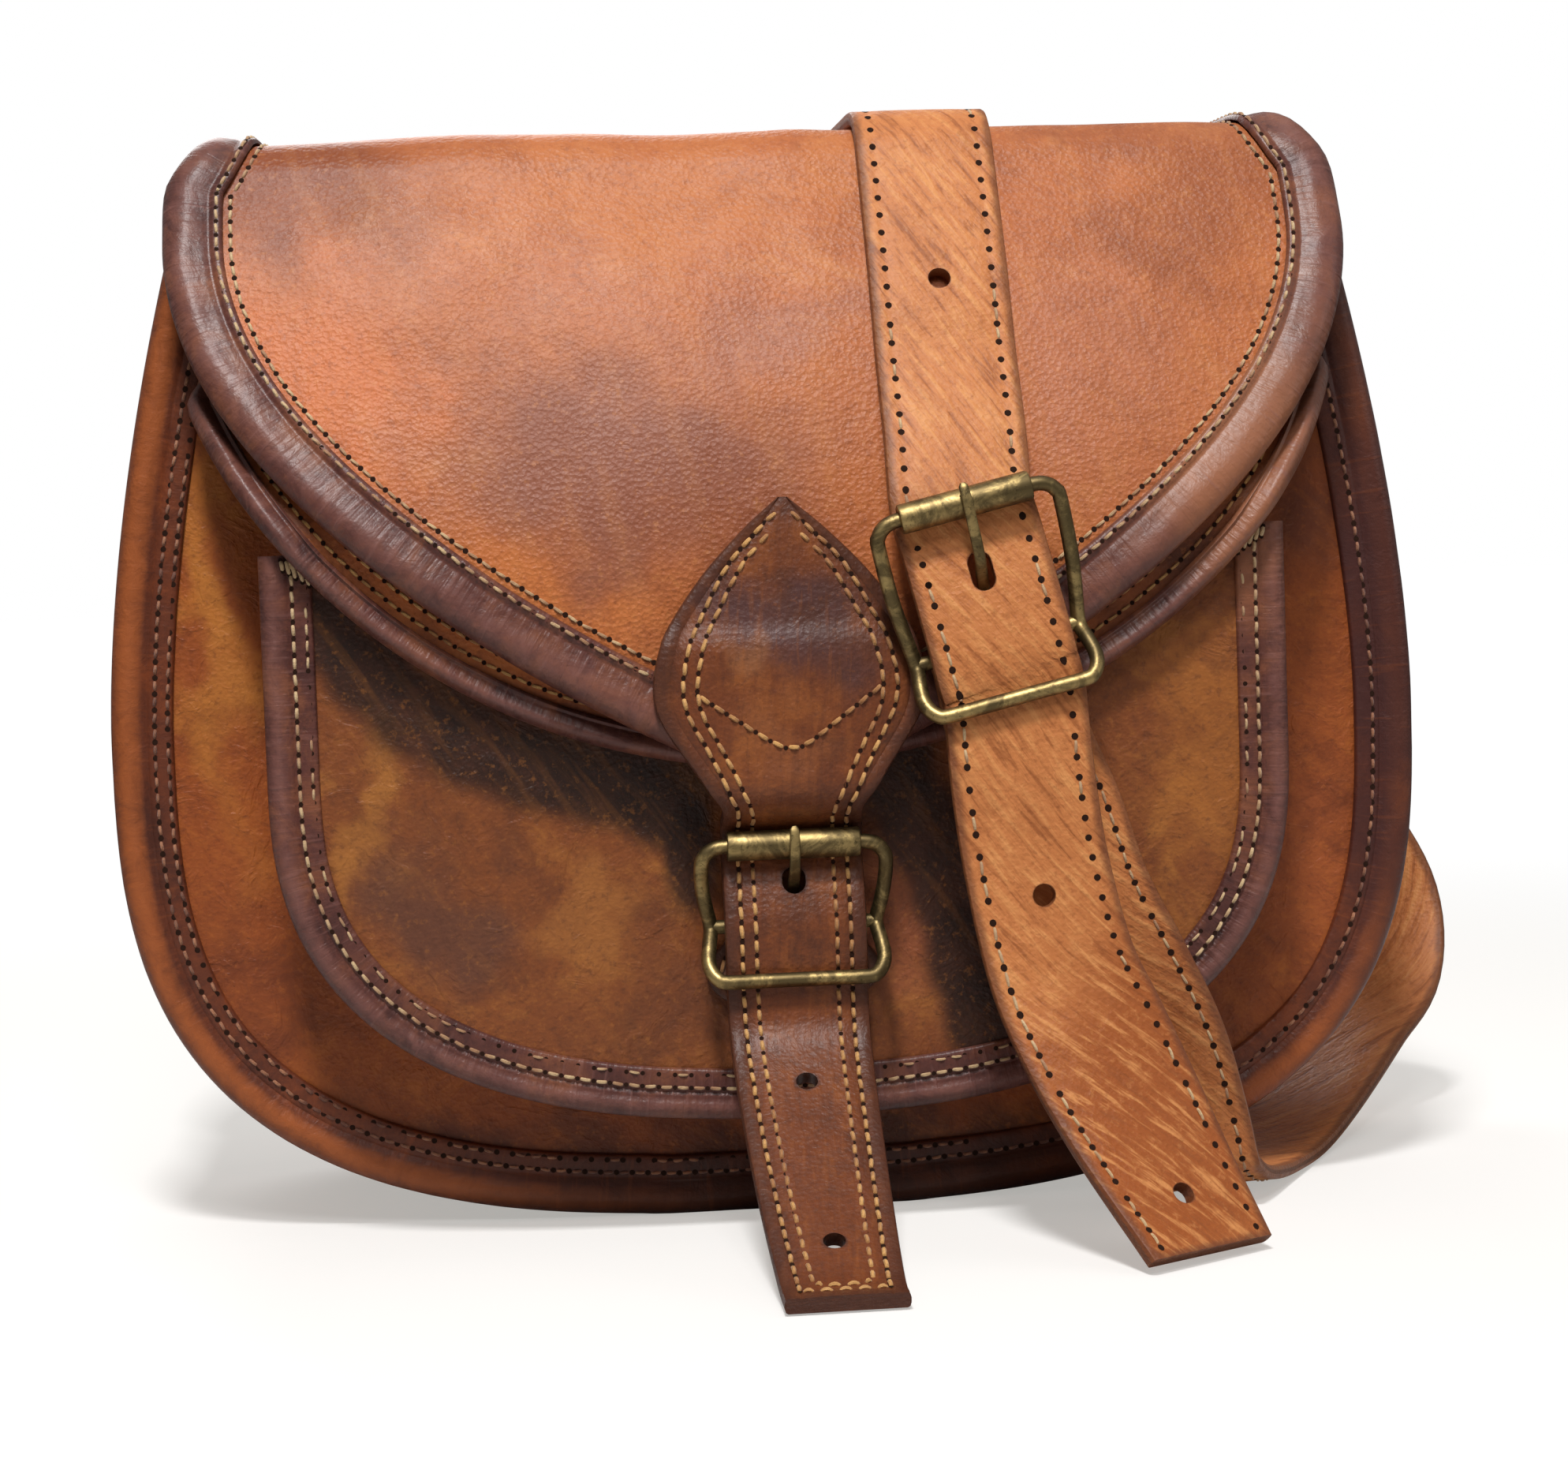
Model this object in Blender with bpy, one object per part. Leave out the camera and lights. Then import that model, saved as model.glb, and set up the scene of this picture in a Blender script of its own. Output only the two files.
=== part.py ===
"""Small leather saddle bag with a buckled flap and a draped, buckled shoulder strap.

Lengths below are in millimetres and angles in degrees; meshes are written in metres.
+X is the viewer's right, -Y is the front, +Z is up. The origin is the middle of the bag's base.
"""

import math
from collections import namedtuple

import bmesh
import bpy
from mathutils import Vector

Binding = namedtuple("Binding", "sheet width leg roll")
Row = namedtuple("Row", "y z half")
Station = namedtuple("Station", "point facing width thickness")

MM = 0.001
GAP = 0.3

# Body
BODY_HALF_WIDTH = 120.0
BODY_TOP_HALF_WIDTH = 102.0
BODY_WIDEST_Z = 90.0
BODY_TOP_Z = 193.2
BODY_CORNER_POWER = 2.9
BODY_NARROWING_POWER = 1.7
BODY_DEPTH = 76.0
BASE_FLAT_HALF = 22.0
PANEL_THICKNESS = 2.0
GUSSET_THICKNESS = 2.0
GUSSET_RECESS = 2.6
RECESS_RISE = 20.0
LINING_THICKNESS = 0.8
LINING_GAP = 0.6

# Rolled bindings
BINDING_EDGE = 1.5
BINDING_BACK_WIDTH = 5.5
BINDING_PLAY = 0.7
BODY_BINDING = Binding(sheet=PANEL_THICKNESS, width=11.0, leg=1.0, roll=1.4)

# Front pocket
POCKET_HALF_WIDTH = 91.0
POCKET_WIDEST_Z = 83.0
POCKET_BOTTOM_Z = 21.0
POCKET_TOP_Z = 124.0
POCKET_CORNER_POWER = 2.5
POCKET_FLAT_HALF = 12.0
POCKET_DEPTH = 20.0
POCKET_BINDING = Binding(sheet=PANEL_THICKNESS, width=9.0, leg=0.8, roll=1.0)

# Pocket flap
POCKET_FLAP_THICKNESS = 1.8
POCKET_FLAP_RADIUS = 113.0
POCKET_FLAP_TIP_Z = 84.0
POCKET_FLAP_LEVEL_Z = 126.0
POCKET_FLAP_HINGE_Z = 160.0
POCKET_FLAP_TOP_HALF_WIDTH = 97.0
POCKET_FLAP_SLOPE_POWER = 1.5
POCKET_FLAP_BINDING = Binding(sheet=POCKET_FLAP_THICKNESS + BINDING_PLAY, width=8.0, leg=0.8, roll=1.2)

# Main flap
FLAP_THICKNESS = 2.0
FLAP_HALF_WIDTH = BODY_TOP_HALF_WIDTH + 4.0
FLAP_RIDGE_HALF_WIDTH = BODY_TOP_HALF_WIDTH - 2.5
FLAP_TIP_Z = 79.5
FLAP_LEVEL_Z = 118.0
FLAP_SIDE_Z = BODY_TOP_Z - 13.7
FLAP_BEND_Z = BODY_TOP_Z - 5.2
FLAP_CURVE_POWER = 1.9
FLAP_CURVE_ROOT = 0.91
FLAP_SLOPE_POWER = 1.7
FLAP_RIDGE_RISE = 3.5
FLAP_SIDE_DROP = 3.0
FLAP_COLUMNS = 10
FLAP_BINDING = Binding(sheet=FLAP_THICKNESS + BINDING_PLAY, width=11.0, leg=1.0, roll=1.4)
HEM_HEIGHT = 17.0
HEM_HALF_WIDTH = BODY_TOP_HALF_WIDTH - 14.0

# Straps
STRAP_WIDTH = 25.0
STRAP_THICKNESS = 2.6
ROUTE_SCALE = STRAP_WIDTH / 25.0
FOLD_THICKNESS = 1.2
HOLE_DIAMETER = 4.2
STRAP_CLEAR_OF_FLOOR = 0.4
STRAP_END_CLEAR_OF_FLOOR = 2.2
CLOSURE_TAB_HALF_WIDTH = 23.8
CLOSURE_TAB_HEIGHT = 51.0
CLOSURE_HOLE_SPACING = 38.0
SHOULDER_HOLE_SPACING = 57.0
RIDGE_STRAP_X = 30.5
ANCHOR_X = 84.0
ANCHOR_TOP_Z = 160.0
ANCHOR_HEIGHT = 30.0
ANCHOR_MARGIN = 3.0
ANCHOR_THICKNESS = 1.8
STRAP_BEHIND_Y = 6.5
REAR_LOOP_LOW_Z = 38.0
BUCKLE_TAB_WIDTH = 31.0
BUCKLE_TAB_THICKNESS = 1.8
BUCKLE_TAB_BOTTOM_Z = 40.0
SHORT_STRAP_PIVOT_X = 71.0
SHORT_STRAP_PIVOT_Z = 8.0

# Buckles
WIRE_DIAMETER = 2.6
ROLLER_DIAMETER = 5.2
PRONG_WIDTH = 2.2
PRONG_THICKNESS = 1.2
BUCKLE_SIDE_PLAY = 0.9
BUCKLE_BOW = 1.6
ROLLER_RISE = 5.0
KEEPER_RISE = 6.8
CLOSURE_BAR_Z = 56.0
CLOSURE_BAR_STAND_OFF = 5.1
CLOSURE_ROLLER_REACH = 14.6
CLOSURE_KEEPER_REACH = 9.0
SHOULDER_BAR_X = 36.0
SHOULDER_BAR_Z = 104.5
SHOULDER_BAR_STAND_OFF = 7.9
SHOULDER_TILT = 13.0
SHOULDER_ROLLER_REACH = 25.2
SHOULDER_KEEPER_REACH = 9.3
CLOSURE_SLOT = (5.2, 10.1)
SHOULDER_SLOT = (9.3, 16.3)


def in_front_of(binding):
    """How far a binding stands out of the middle of its sheet, at the front."""
    return binding.sheet / 2 + GAP + binding.roll


def behind(binding):
    """How far a binding stands out of the middle of its sheet, at the back."""
    return binding.sheet / 2 + GAP + binding.leg


# Where the layers lie in depth. The flaps' values are the middle of their thickness.
FRONT_Y = -BODY_DEPTH / 2
BACK_Y = BODY_DEPTH / 2
POCKET_Y = FRONT_Y - GAP - POCKET_DEPTH - PANEL_THICKNESS
POCKET_MIDDLE_Y = POCKET_Y + PANEL_THICKNESS / 2
POCKET_FLAP_Y = POCKET_MIDDLE_Y - in_front_of(POCKET_BINDING) - GAP - behind(POCKET_FLAP_BINDING)
POCKET_FLAP_HINGE_Y = FRONT_Y - GAP - POCKET_FLAP_THICKNESS / 2
FLAP_Y = POCKET_FLAP_Y - in_front_of(POCKET_FLAP_BINDING) - GAP - behind(FLAP_BINDING)
FLAP_BEND_Y = FRONT_Y - 6.0
FLAP_HINGE_Y = BACK_Y + 0.5
FLAP_HINGE_Z = BODY_TOP_Z + GAP + FLAP_THICKNESS / 2
RIDGE_Z = FLAP_HINGE_Z + FLAP_RIDGE_RISE
PLATE_INSET = BINDING_EDGE + GAP
STRAP_ON_FLAP = FLAP_THICKNESS / 2 + GAP + STRAP_THICKNESS / 2
STRAP_ON_FLAP_BINDING = in_front_of(FLAP_BINDING) + GAP + STRAP_THICKNESS / 2
STRAP_ON_BAR = WIRE_DIAMETER / 2 + FOLD_THICKNESS + 2 * GAP + STRAP_THICKNESS / 2
CLOSURE_BAR_Y = POCKET_Y - CLOSURE_BAR_STAND_OFF
SHOULDER_BAR_Y = FLAP_Y - SHOULDER_BAR_STAND_OFF
SHORT_STRAP_PIVOT_Y = POCKET_Y + 0.3
FLOOR_LEVEL_Z = STRAP_THICKNESS / 2 + STRAP_CLEAR_OF_FLOOR

RIGHT = Vector((1, 0, 0))
FORWARD = Vector((0, -1, 0))
BACKWARD = Vector((0, 1, 0))
UP = Vector((0, 0, 1))
DOWN = Vector((0, 0, -1))

LEATHER = ((0.42, 0.15, 0.05), 0.5, 0.0)
FLAP_LEATHER = ((0.45, 0.14, 0.04), 0.45, 0.0)
DARK_LEATHER = ((0.09, 0.03, 0.03), 0.4, 0.0)
BROWN_LEATHER = ((0.17, 0.06, 0.03), 0.45, 0.0)
STRAP_LEATHER = ((0.5, 0.22, 0.08), 0.5, 0.0)
CLOTH = ((0.25, 0.2, 0.13), 0.9, 0.0)
BRASS = ((0.38, 0.28, 0.13), 0.35, 1.0)
GUIDE = ((0.5, 0.5, 0.5), 1.0, 0.0)


def material(name, colour, roughness, metallic):
    """Principled material of one plain colour."""
    made = bpy.data.materials.new(name)
    made.use_nodes = True
    shader = made.node_tree.nodes["Principled BSDF"]
    shader.inputs["Base Color"].default_value = (*colour, 1.0)
    shader.inputs["Roughness"].default_value = roughness
    shader.inputs["Metallic"].default_value = metallic
    return made


def make_object(name, mesh_builder, finish):
    """Turn a bmesh in millimetres into a named object in metres with outward faces."""
    bmesh.ops.recalc_face_normals(mesh_builder, faces=mesh_builder.faces)
    bmesh.ops.scale(mesh_builder, vec=(MM, MM, MM), verts=mesh_builder.verts)
    mesh = bpy.data.meshes.new(name)
    mesh_builder.to_mesh(mesh)
    mesh_builder.free()
    mesh.materials.append(material(name, *finish))
    mesh.shade_smooth()
    mesh.set_sharp_from_angle(angle=math.radians(40))
    made = bpy.data.objects.new(name, mesh)
    bpy.context.collection.objects.link(made)
    return made


def hang_on_pivot(name, location, members):
    """Empty on a joint's axis that carries the pieces that turn about it."""
    pivot = bpy.data.objects.new(name, None)
    pivot.location = Vector(location) * MM
    bpy.context.collection.objects.link(pivot)
    for member in members:
        member.parent = pivot
        member.location = -pivot.location


def add_rings(mesh_builder, rings, closed=False):
    """Join matching rings of points into one solid: a tube, a strip or a closed loop."""
    rows = [[mesh_builder.verts.new(point) for point in ring] for ring in rings]
    count = len(rows[0])
    following = rows[1:] + rows[:1] if closed else rows[1:]
    for near, far in zip(rows, following):
        for i in range(count):
            j = (i + 1) % count
            mesh_builder.faces.new((near[i], near[j], far[j], far[i]))
    if not closed:
        mesh_builder.faces.new(rows[0])
        mesh_builder.faces.new(list(reversed(rows[-1])))


def add_plate(mesh_builder, outer_rows, inner_rows):
    """Close two matching grids of points into one sheet of leather."""
    outer = [[mesh_builder.verts.new(p) for p in row] for row in outer_rows]
    inner = [[mesh_builder.verts.new(p) for p in row] for row in inner_rows]
    last = len(outer[0]) - 1
    for r in range(len(outer) - 1):
        for c in range(last):
            for grid in (outer, inner):
                corners = (grid[r][c], grid[r][c + 1], grid[r + 1][c + 1], grid[r + 1][c])
                mesh_builder.faces.new(corners)
        for c in (0, last):
            mesh_builder.faces.new((outer[r][c], outer[r + 1][c], inner[r + 1][c], inner[r][c]))
    for r in (0, len(outer) - 1):
        for c in range(last):
            mesh_builder.faces.new((outer[r][c], outer[r][c + 1], inner[r][c + 1], inner[r][c]))


def circle(centre, axis, reference, radius, sides):
    """Ring of points round an axis."""
    side = axis.cross(reference).normalized()
    other = side.cross(axis).normalized()
    turns = [2 * math.pi * (k + 0.5) / sides for k in range(sides)]
    return [centre + (side * math.cos(t) + other * math.sin(t)) * radius for t in turns]


def smooth_path(points, steps):
    """Catmull-Rom curve through the points, with the given number of steps between them."""
    padded = [2 * points[0] - points[1], *points, 2 * points[-1] - points[-2]]
    path = []
    for i in range(1, len(padded) - 2):
        a, b, c, d = padded[i - 1 : i + 3]
        for k in range(steps):
            t = k / steps
            cubic = (3 * b - a - 3 * c + d) * t**3
            path.append(0.5 * (2 * b + (c - a) * t + (2 * a - 5 * b + 4 * c - d) * t**2 + cubic))
    path.append(points[-1])
    return path


def tangents(points, closed=False):
    """Unit direction of travel at each point."""
    found = []
    for i in range(len(points)):
        before = points[i - 1] if closed or i else points[0]
        after = points[(i + 1) % len(points)] if closed or i < len(points) - 1 else points[-1]
        found.append((after - before).normalized())
    return found


def mitres(points):
    """How much wider a swept section must be at each point so that its sides stay even."""
    factors = [1.0]
    for before, here, after in zip(points, points[1:], points[2:]):
        turn = (here - before).angle(after - here)
        factors.append(1 / math.cos(turn / 2))
    return factors + [1.0]


def cut_with(target, cutter, operation="DIFFERENCE"):
    """Cut, or join, one object with another that is kept only as a guide."""
    cutter.hide_render = True
    cutter.display_type = "WIRE"
    boolean = target.modifiers.new(cutter.name, "BOOLEAN")
    boolean.operation = operation
    boolean.solver = "EXACT"
    boolean.object = cutter


def mirrored(right_half):
    """Outline from its top left, round the bottom, to its top right."""
    left = [Vector((-p.x, p.y)) for p in reversed(right_half)]
    return left + right_half


def body_outline():
    """Half width and height of the body's edge, from the flat base to the top."""
    half = [Vector((BASE_FLAT_HALF, 0.0))]
    steps = 9
    root = 2 / BODY_CORNER_POWER
    for k in range(2, steps + 1):
        angle = math.pi / 2 * k / steps
        drop = max(math.cos(angle), 0.0) ** root if k < steps else 0.0
        half.append(Vector((BODY_HALF_WIDTH * math.sin(angle) ** root, BODY_WIDEST_Z * (1 - drop))))
    rise = BODY_TOP_Z - BODY_WIDEST_Z
    narrowing = BODY_HALF_WIDTH - BODY_TOP_HALF_WIDTH
    upper_steps = 5
    for k in range(1, upper_steps + 1):
        share = k / upper_steps
        x = BODY_HALF_WIDTH - narrowing * share**BODY_NARROWING_POWER
        half.append(Vector((x, BODY_WIDEST_Z + rise * share)))
    return mirrored(half)


def pocket_outline():
    """Edge of the pocket panel, from its bottom to its open top."""
    half = [Vector((POCKET_FLAT_HALF, POCKET_BOTTOM_Z))]
    depth = POCKET_WIDEST_Z - POCKET_BOTTOM_Z
    steps = 8
    root = 2 / POCKET_CORNER_POWER
    for k in range(2, steps + 1):
        angle = math.pi / 2 * k / steps
        drop = math.cos(angle) ** root if k < steps else 0.0
        x = POCKET_HALF_WIDTH * math.sin(angle) ** root
        half.append(Vector((x, POCKET_BOTTOM_Z + depth * (1 - drop))))
    half.append(Vector((POCKET_HALF_WIDTH, (POCKET_WIDEST_Z + POCKET_TOP_Z) / 2)))
    half.append(Vector((POCKET_HALF_WIDTH, POCKET_TOP_Z)))
    return mirrored(half)


def inset(outline, distances):
    """Move an open outline inwards, keeping the height of its two ends."""
    moved = []
    last = len(outline) - 1
    for i, (point, distance) in enumerate(zip(outline, distances)):
        along = (outline[min(i + 1, last)] - outline[max(i - 1, 0)]).normalized()
        shifted = point + Vector((-along.y, along.x)) * distance
        if i in (0, last):
            shifted.y = point.y
        moved.append(shifted)
    return moved


def inset_evenly(outline, distance):
    """Move a whole outline inwards by one distance."""
    return inset(outline, [distance] * len(outline))


def gusset_outline():
    """Body outline, set back from the bindings at the sides but level with them at the base."""
    outline = body_outline()
    return inset(outline, [GUSSET_RECESS * min(point.y / RECESS_RISE, 1.0) for point in outline])


def add_panel(mesh_builder, outline, front_y, back_y):
    """Flat panel of leather between two depths."""
    add_rings(mesh_builder, [[Vector((p.x, y, p.y)) for p in outline] for y in (front_y, back_y)])


def build_panel(name, outline, front_y, finish):
    """Panel that sits in the slot of its binding."""
    builder = bmesh.new()
    add_panel(builder, inset_evenly(outline, PLATE_INSET), front_y, front_y + PANEL_THICKNESS)
    return make_object(name, builder, finish)


def build_band(name, outline, thickness, front_y, back_y, finish):
    """Strip bent along an outline, with its thickness to the inside."""
    inner = inset_evenly(outline, thickness)
    rings = []
    for out, into in zip(outline, inner):
        rings.append([Vector((out.x, front_y, out.y)), Vector((out.x, back_y, out.y)),
                      Vector((into.x, back_y, into.y)), Vector((into.x, front_y, into.y))])
    builder = bmesh.new()
    add_rings(builder, rings)
    return make_object(name, builder, finish)


def binding_section(binding):
    """C-shaped section round a sheet's edge, as (outwards in the sheet, out of its face)."""
    slot = binding.sheet / 2 + GAP
    leg = slot + binding.leg
    roll = slot + binding.roll
    half_width = binding.width / 2
    return [(-binding.width, slot), (-binding.width, leg), (-half_width, leg), (-BINDING_EDGE * 1.6, roll),
            (0.0, slot * 0.6), (0.0, -slot * 0.8), (-BINDING_EDGE, -leg), (-BINDING_BACK_WIDTH, -leg),
            (-BINDING_BACK_WIDTH, -slot), (-BINDING_EDGE, -slot), (-BINDING_EDGE, slot)]


def build_binding(name, points, facings, binding, finish):
    """Sweep a binding along an edge that runs from its left end, round the bottom, to its right end."""
    section = binding_section(binding)
    rings = []
    for point, along, facing, mitre in zip(points, tangents(points), facings, mitres(points)):
        outward = along.cross(facing).normalized()
        rings.append([point + outward * (a * mitre) + facing * b for a, b in section])
    builder = bmesh.new()
    add_rings(builder, rings)
    return make_object(name, builder, finish)


def bind_panel(name, outline, middle_y, facing, binding):
    """Rolled binding round a flat panel's edge."""
    points = [Vector((p.x, middle_y, p.y)) for p in outline]
    if facing.y > 0:
        points.reverse()
    return build_binding(name, points, [facing] * len(points), binding, DARK_LEATHER)


def build_lining():
    """Cloth tub inside the main compartment, open at the top."""
    outline = inset_evenly(gusset_outline(), GUSSET_THICKNESS + LINING_GAP)
    depth = BACK_Y - PANEL_THICKNESS - 2 * GAP - BODY_BINDING.leg - GAP
    builder = bmesh.new()
    add_panel(builder, outline, -depth, depth)
    tub = make_object("lining", builder, CLOTH)
    inside = inset_evenly(outline, LINING_THICKNESS)
    over_top = Vector((0, 5.0))
    inside = [inside[0] + over_top, *inside, inside[-1] + over_top]
    builder = bmesh.new()
    add_panel(builder, inside, LINING_THICKNESS - depth, depth - LINING_THICKNESS)
    cut_with(tub, make_object("lining_space", builder, GUIDE))
    return tub


def build_body():
    """Panels, gusset, lining, bindings and the flap's sewn hem."""
    outline = body_outline()
    build_panel("front_panel", outline, FRONT_Y, LEATHER)
    build_panel("back_panel", outline, BACK_Y - PANEL_THICKNESS, LEATHER)
    edge = BACK_Y - PANEL_THICKNESS / 2 - behind(BODY_BINDING) - GAP
    build_band("gusset", gusset_outline(), GUSSET_THICKNESS, -edge, edge, LEATHER)
    build_lining()
    bind_panel("front_binding", outline, FRONT_Y + PANEL_THICKNESS / 2, FORWARD, BODY_BINDING)
    bind_panel("back_binding", outline, BACK_Y - PANEL_THICKNESS / 2, BACKWARD, BODY_BINDING)
    hem = [Vector((-HEM_HALF_WIDTH, BODY_TOP_Z)), Vector((-HEM_HALF_WIDTH, BODY_TOP_Z - HEM_HEIGHT)),
           Vector((HEM_HALF_WIDTH, BODY_TOP_Z - HEM_HEIGHT)), Vector((HEM_HALF_WIDTH, BODY_TOP_Z))]
    builder = bmesh.new()
    add_panel(builder, hem, BACK_Y + GAP, BACK_Y + GAP + FLAP_THICKNESS)
    make_object("flap_hem", builder, FLAP_LEATHER)


def build_pocket():
    """Pocket panel, the gusset that holds it off the body, and its binding."""
    outline = pocket_outline()
    build_panel("pocket_panel", outline, POCKET_Y, FLAP_LEATHER)
    gusset_front = POCKET_MIDDLE_Y + behind(POCKET_BINDING) + GAP
    build_band("pocket_gusset", inset_evenly(outline, GUSSET_RECESS), GUSSET_THICKNESS,
               gusset_front, FRONT_Y - GAP, LEATHER)
    bind_panel("pocket_binding", outline, POCKET_MIDDLE_Y, FORWARD, POCKET_BINDING)


def row_facings(rows):
    """Outward direction at each row of a flap, whose rows run from its hinge to its tip."""
    along = tangents([Vector((0, row.y, row.z)) for row in rows])
    return [Vector((0, t.z, -t.y)) for t in along]


def out_of_slope(front_y, z):
    """Direction out of a hanging sheet whose middle lies at front_y of a height."""
    reach = 0.5
    slope = (front_y(z + reach) - front_y(z - reach)) / (2 * reach)
    return Vector((0, -1, slope)).normalized()


def flap_front_y(z):
    """Middle of the main flap's thickness where it hangs in front."""
    rise = max(0.0, z - FLAP_LEVEL_Z) / (FLAP_BEND_Z - FLAP_LEVEL_Z)
    return FLAP_Y + (FLAP_BEND_Y - FLAP_Y) * rise**FLAP_SLOPE_POWER


def over_flap(x, z, height):
    """Point of the hanging main flap, at a height over the middle of its thickness."""
    rise = min(max(0.0, z - FLAP_LEVEL_Z) / (FLAP_BEND_Z - FLAP_LEVEL_Z), 1.0)
    fall = FLAP_SIDE_DROP * math.sin(math.pi * rise) * (x / FLAP_HALF_WIDTH) ** 2
    return Vector((x, flap_front_y(z), z)) + out_of_slope(flap_front_y, z) * (height - fall)


def flap_half_width(z):
    """Half width of the pointed flap at a height."""
    rise = min(1.0, max(0.0, (z - FLAP_TIP_Z) / (FLAP_SIDE_Z - FLAP_TIP_Z)))
    return FLAP_HALF_WIDTH * (1 - (1 - rise) ** FLAP_CURVE_POWER) ** FLAP_CURVE_ROOT


def flap_ridge_rows(side_inset):
    """Rows from the flap's hinge, over the top, to where it starts to hang."""
    half = FLAP_RIDGE_HALF_WIDTH - side_inset
    widening = FLAP_HALF_WIDTH - FLAP_RIDGE_HALF_WIDTH
    return [
        Row(FLAP_HINGE_Y, FLAP_HINGE_Z, half),
        Row(BACK_Y - 3, FLAP_HINGE_Z + 0.55 * FLAP_RIDGE_RISE, half),
        Row(BACK_Y / 2, RIDGE_Z - 0.5, half),
        Row(0, RIDGE_Z, half),
        Row(FRONT_Y / 2, RIDGE_Z - 0.2, half),
        Row(FRONT_Y + 5, RIDGE_Z - 0.5, half + 0.1 * widening),
        Row(FLAP_BEND_Y + 5, RIDGE_Z - 1.2, half + 0.35 * widening),
        Row(FLAP_BEND_Y + 1.7, RIDGE_Z - 3.3, half + 0.65 * widening),
        Row(FLAP_BEND_Y + 0.2, RIDGE_Z - 6.8, half + 0.9 * widening),
        Row(FLAP_BEND_Y, FLAP_BEND_Z, half + widening),
    ]


def flap_hanging_heights(lowest):
    """Heights of the rows of the hanging part, down to its tip."""
    upper = [FLAP_SIDE_Z + (FLAP_LEVEL_Z - FLAP_SIDE_Z) * k / 8 for k in range(9)]
    lower = [FLAP_TIP_Z + (FLAP_LEVEL_Z - FLAP_TIP_Z) * share for share in (0.8, 0.61, 0.43, 0.27, 0.14)]
    return upper + lower + [lowest]


def pocket_flap_front_y(z):
    """Middle of the pocket flap's thickness: it slopes out from its hinge and then hangs."""
    rise = max(0.0, z - POCKET_FLAP_LEVEL_Z) / (POCKET_FLAP_HINGE_Z - POCKET_FLAP_LEVEL_Z)
    return POCKET_FLAP_Y + (POCKET_FLAP_HINGE_Y - POCKET_FLAP_Y) * rise**POCKET_FLAP_SLOPE_POWER


def over_pocket_flap(x, z, height):
    """Point of the pocket flap, at a height over the middle of its thickness."""
    return Vector((x, pocket_flap_front_y(z), z)) + out_of_slope(pocket_flap_front_y, z) * height


def build_flap_sheet(name, ridge, hanging, surface, thickness):
    """Sheet of a flap, from its rows over the ridge and its (height, half width) where it hangs."""
    half_thickness = thickness / 2
    outer, inner = [], []
    first = surface(0, hanging[0][0], 0)
    for row, facing in zip(ridge, row_facings([*ridge, Row(first.y, first.z, 0)])):
        for grid, height in ((outer, half_thickness), (inner, -half_thickness)):
            grid.append([Vector((x, row.y, row.z)) + facing * height for x in columns(row.half)])
    for z, half in hanging:
        outer.append([surface(x, z, half_thickness) for x in columns(half)])
        inner.append([surface(x, z, -half_thickness) for x in columns(half)])
    builder = bmesh.new()
    add_plate(builder, outer, inner)
    return make_object(name, builder, FLAP_LEATHER)


def columns(half):
    """Places across a flap at which its sheet has points."""
    return [half * (2 * c / FLAP_COLUMNS - 1) for c in range(FLAP_COLUMNS + 1)]


def build_flap_binding(name, ridge, hanging, surface, binding):
    """Binding down a flap's left side, round its tip, and up its right side, in the sheet's own curve."""
    section = binding_section(binding)
    left = [Vector((-half, z)) for z, half in hanging]
    right = [Vector((half, z)) for z, half in reversed(hanging[:-1])]
    edge = left + right
    rings = []
    for point, along, mitre in zip(edge, tangents(edge), mitres(edge)):
        outward = Vector((along.y, -along.x)) * mitre
        rings.append([surface(point.x + outward.x * a, point.y + outward.y * a, b) for a, b in section])
    first = surface(0, hanging[0][0], 0)
    for row, facing in reversed(list(zip(ridge, row_facings([*ridge, Row(first.y, first.z, 0)])))):
        middle = Vector((0, row.y, row.z))
        rings.insert(0, [middle - RIGHT * (row.half + a) + facing * b for a, b in section])
        rings.append([middle + RIGHT * (row.half + a) + facing * b for a, b in section])
    builder = bmesh.new()
    add_rings(builder, rings)
    return make_object(name, builder, DARK_LEATHER)


def build_main_flap():
    """Pointed main flap and its rolled edge."""
    near_tip = 6.0
    tip_slope = flap_half_width(FLAP_TIP_Z + near_tip) / near_tip
    lowest = FLAP_TIP_Z + PLATE_INSET * math.sqrt(1 + tip_slope**-2) + GAP
    narrowest = 0.8
    plate = []
    for z in flap_hanging_heights(lowest):
        slope = flap_half_width(z + 0.5) - flap_half_width(z - 0.5)
        plate.append((z, max(flap_half_width(z) - PLATE_INSET * math.sqrt(1 + slope**2), narrowest)))
    ridge = flap_ridge_rows(PLATE_INSET + GAP)
    sheet = build_flap_sheet("main_flap", ridge, plate, over_flap, FLAP_THICKNESS)
    edge = [(z, flap_half_width(z)) for z in flap_hanging_heights(FLAP_TIP_Z)]
    binding = build_flap_binding("flap_binding", flap_ridge_rows(0)[1:], edge, over_flap, FLAP_BINDING)
    return [sheet, binding]


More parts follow.
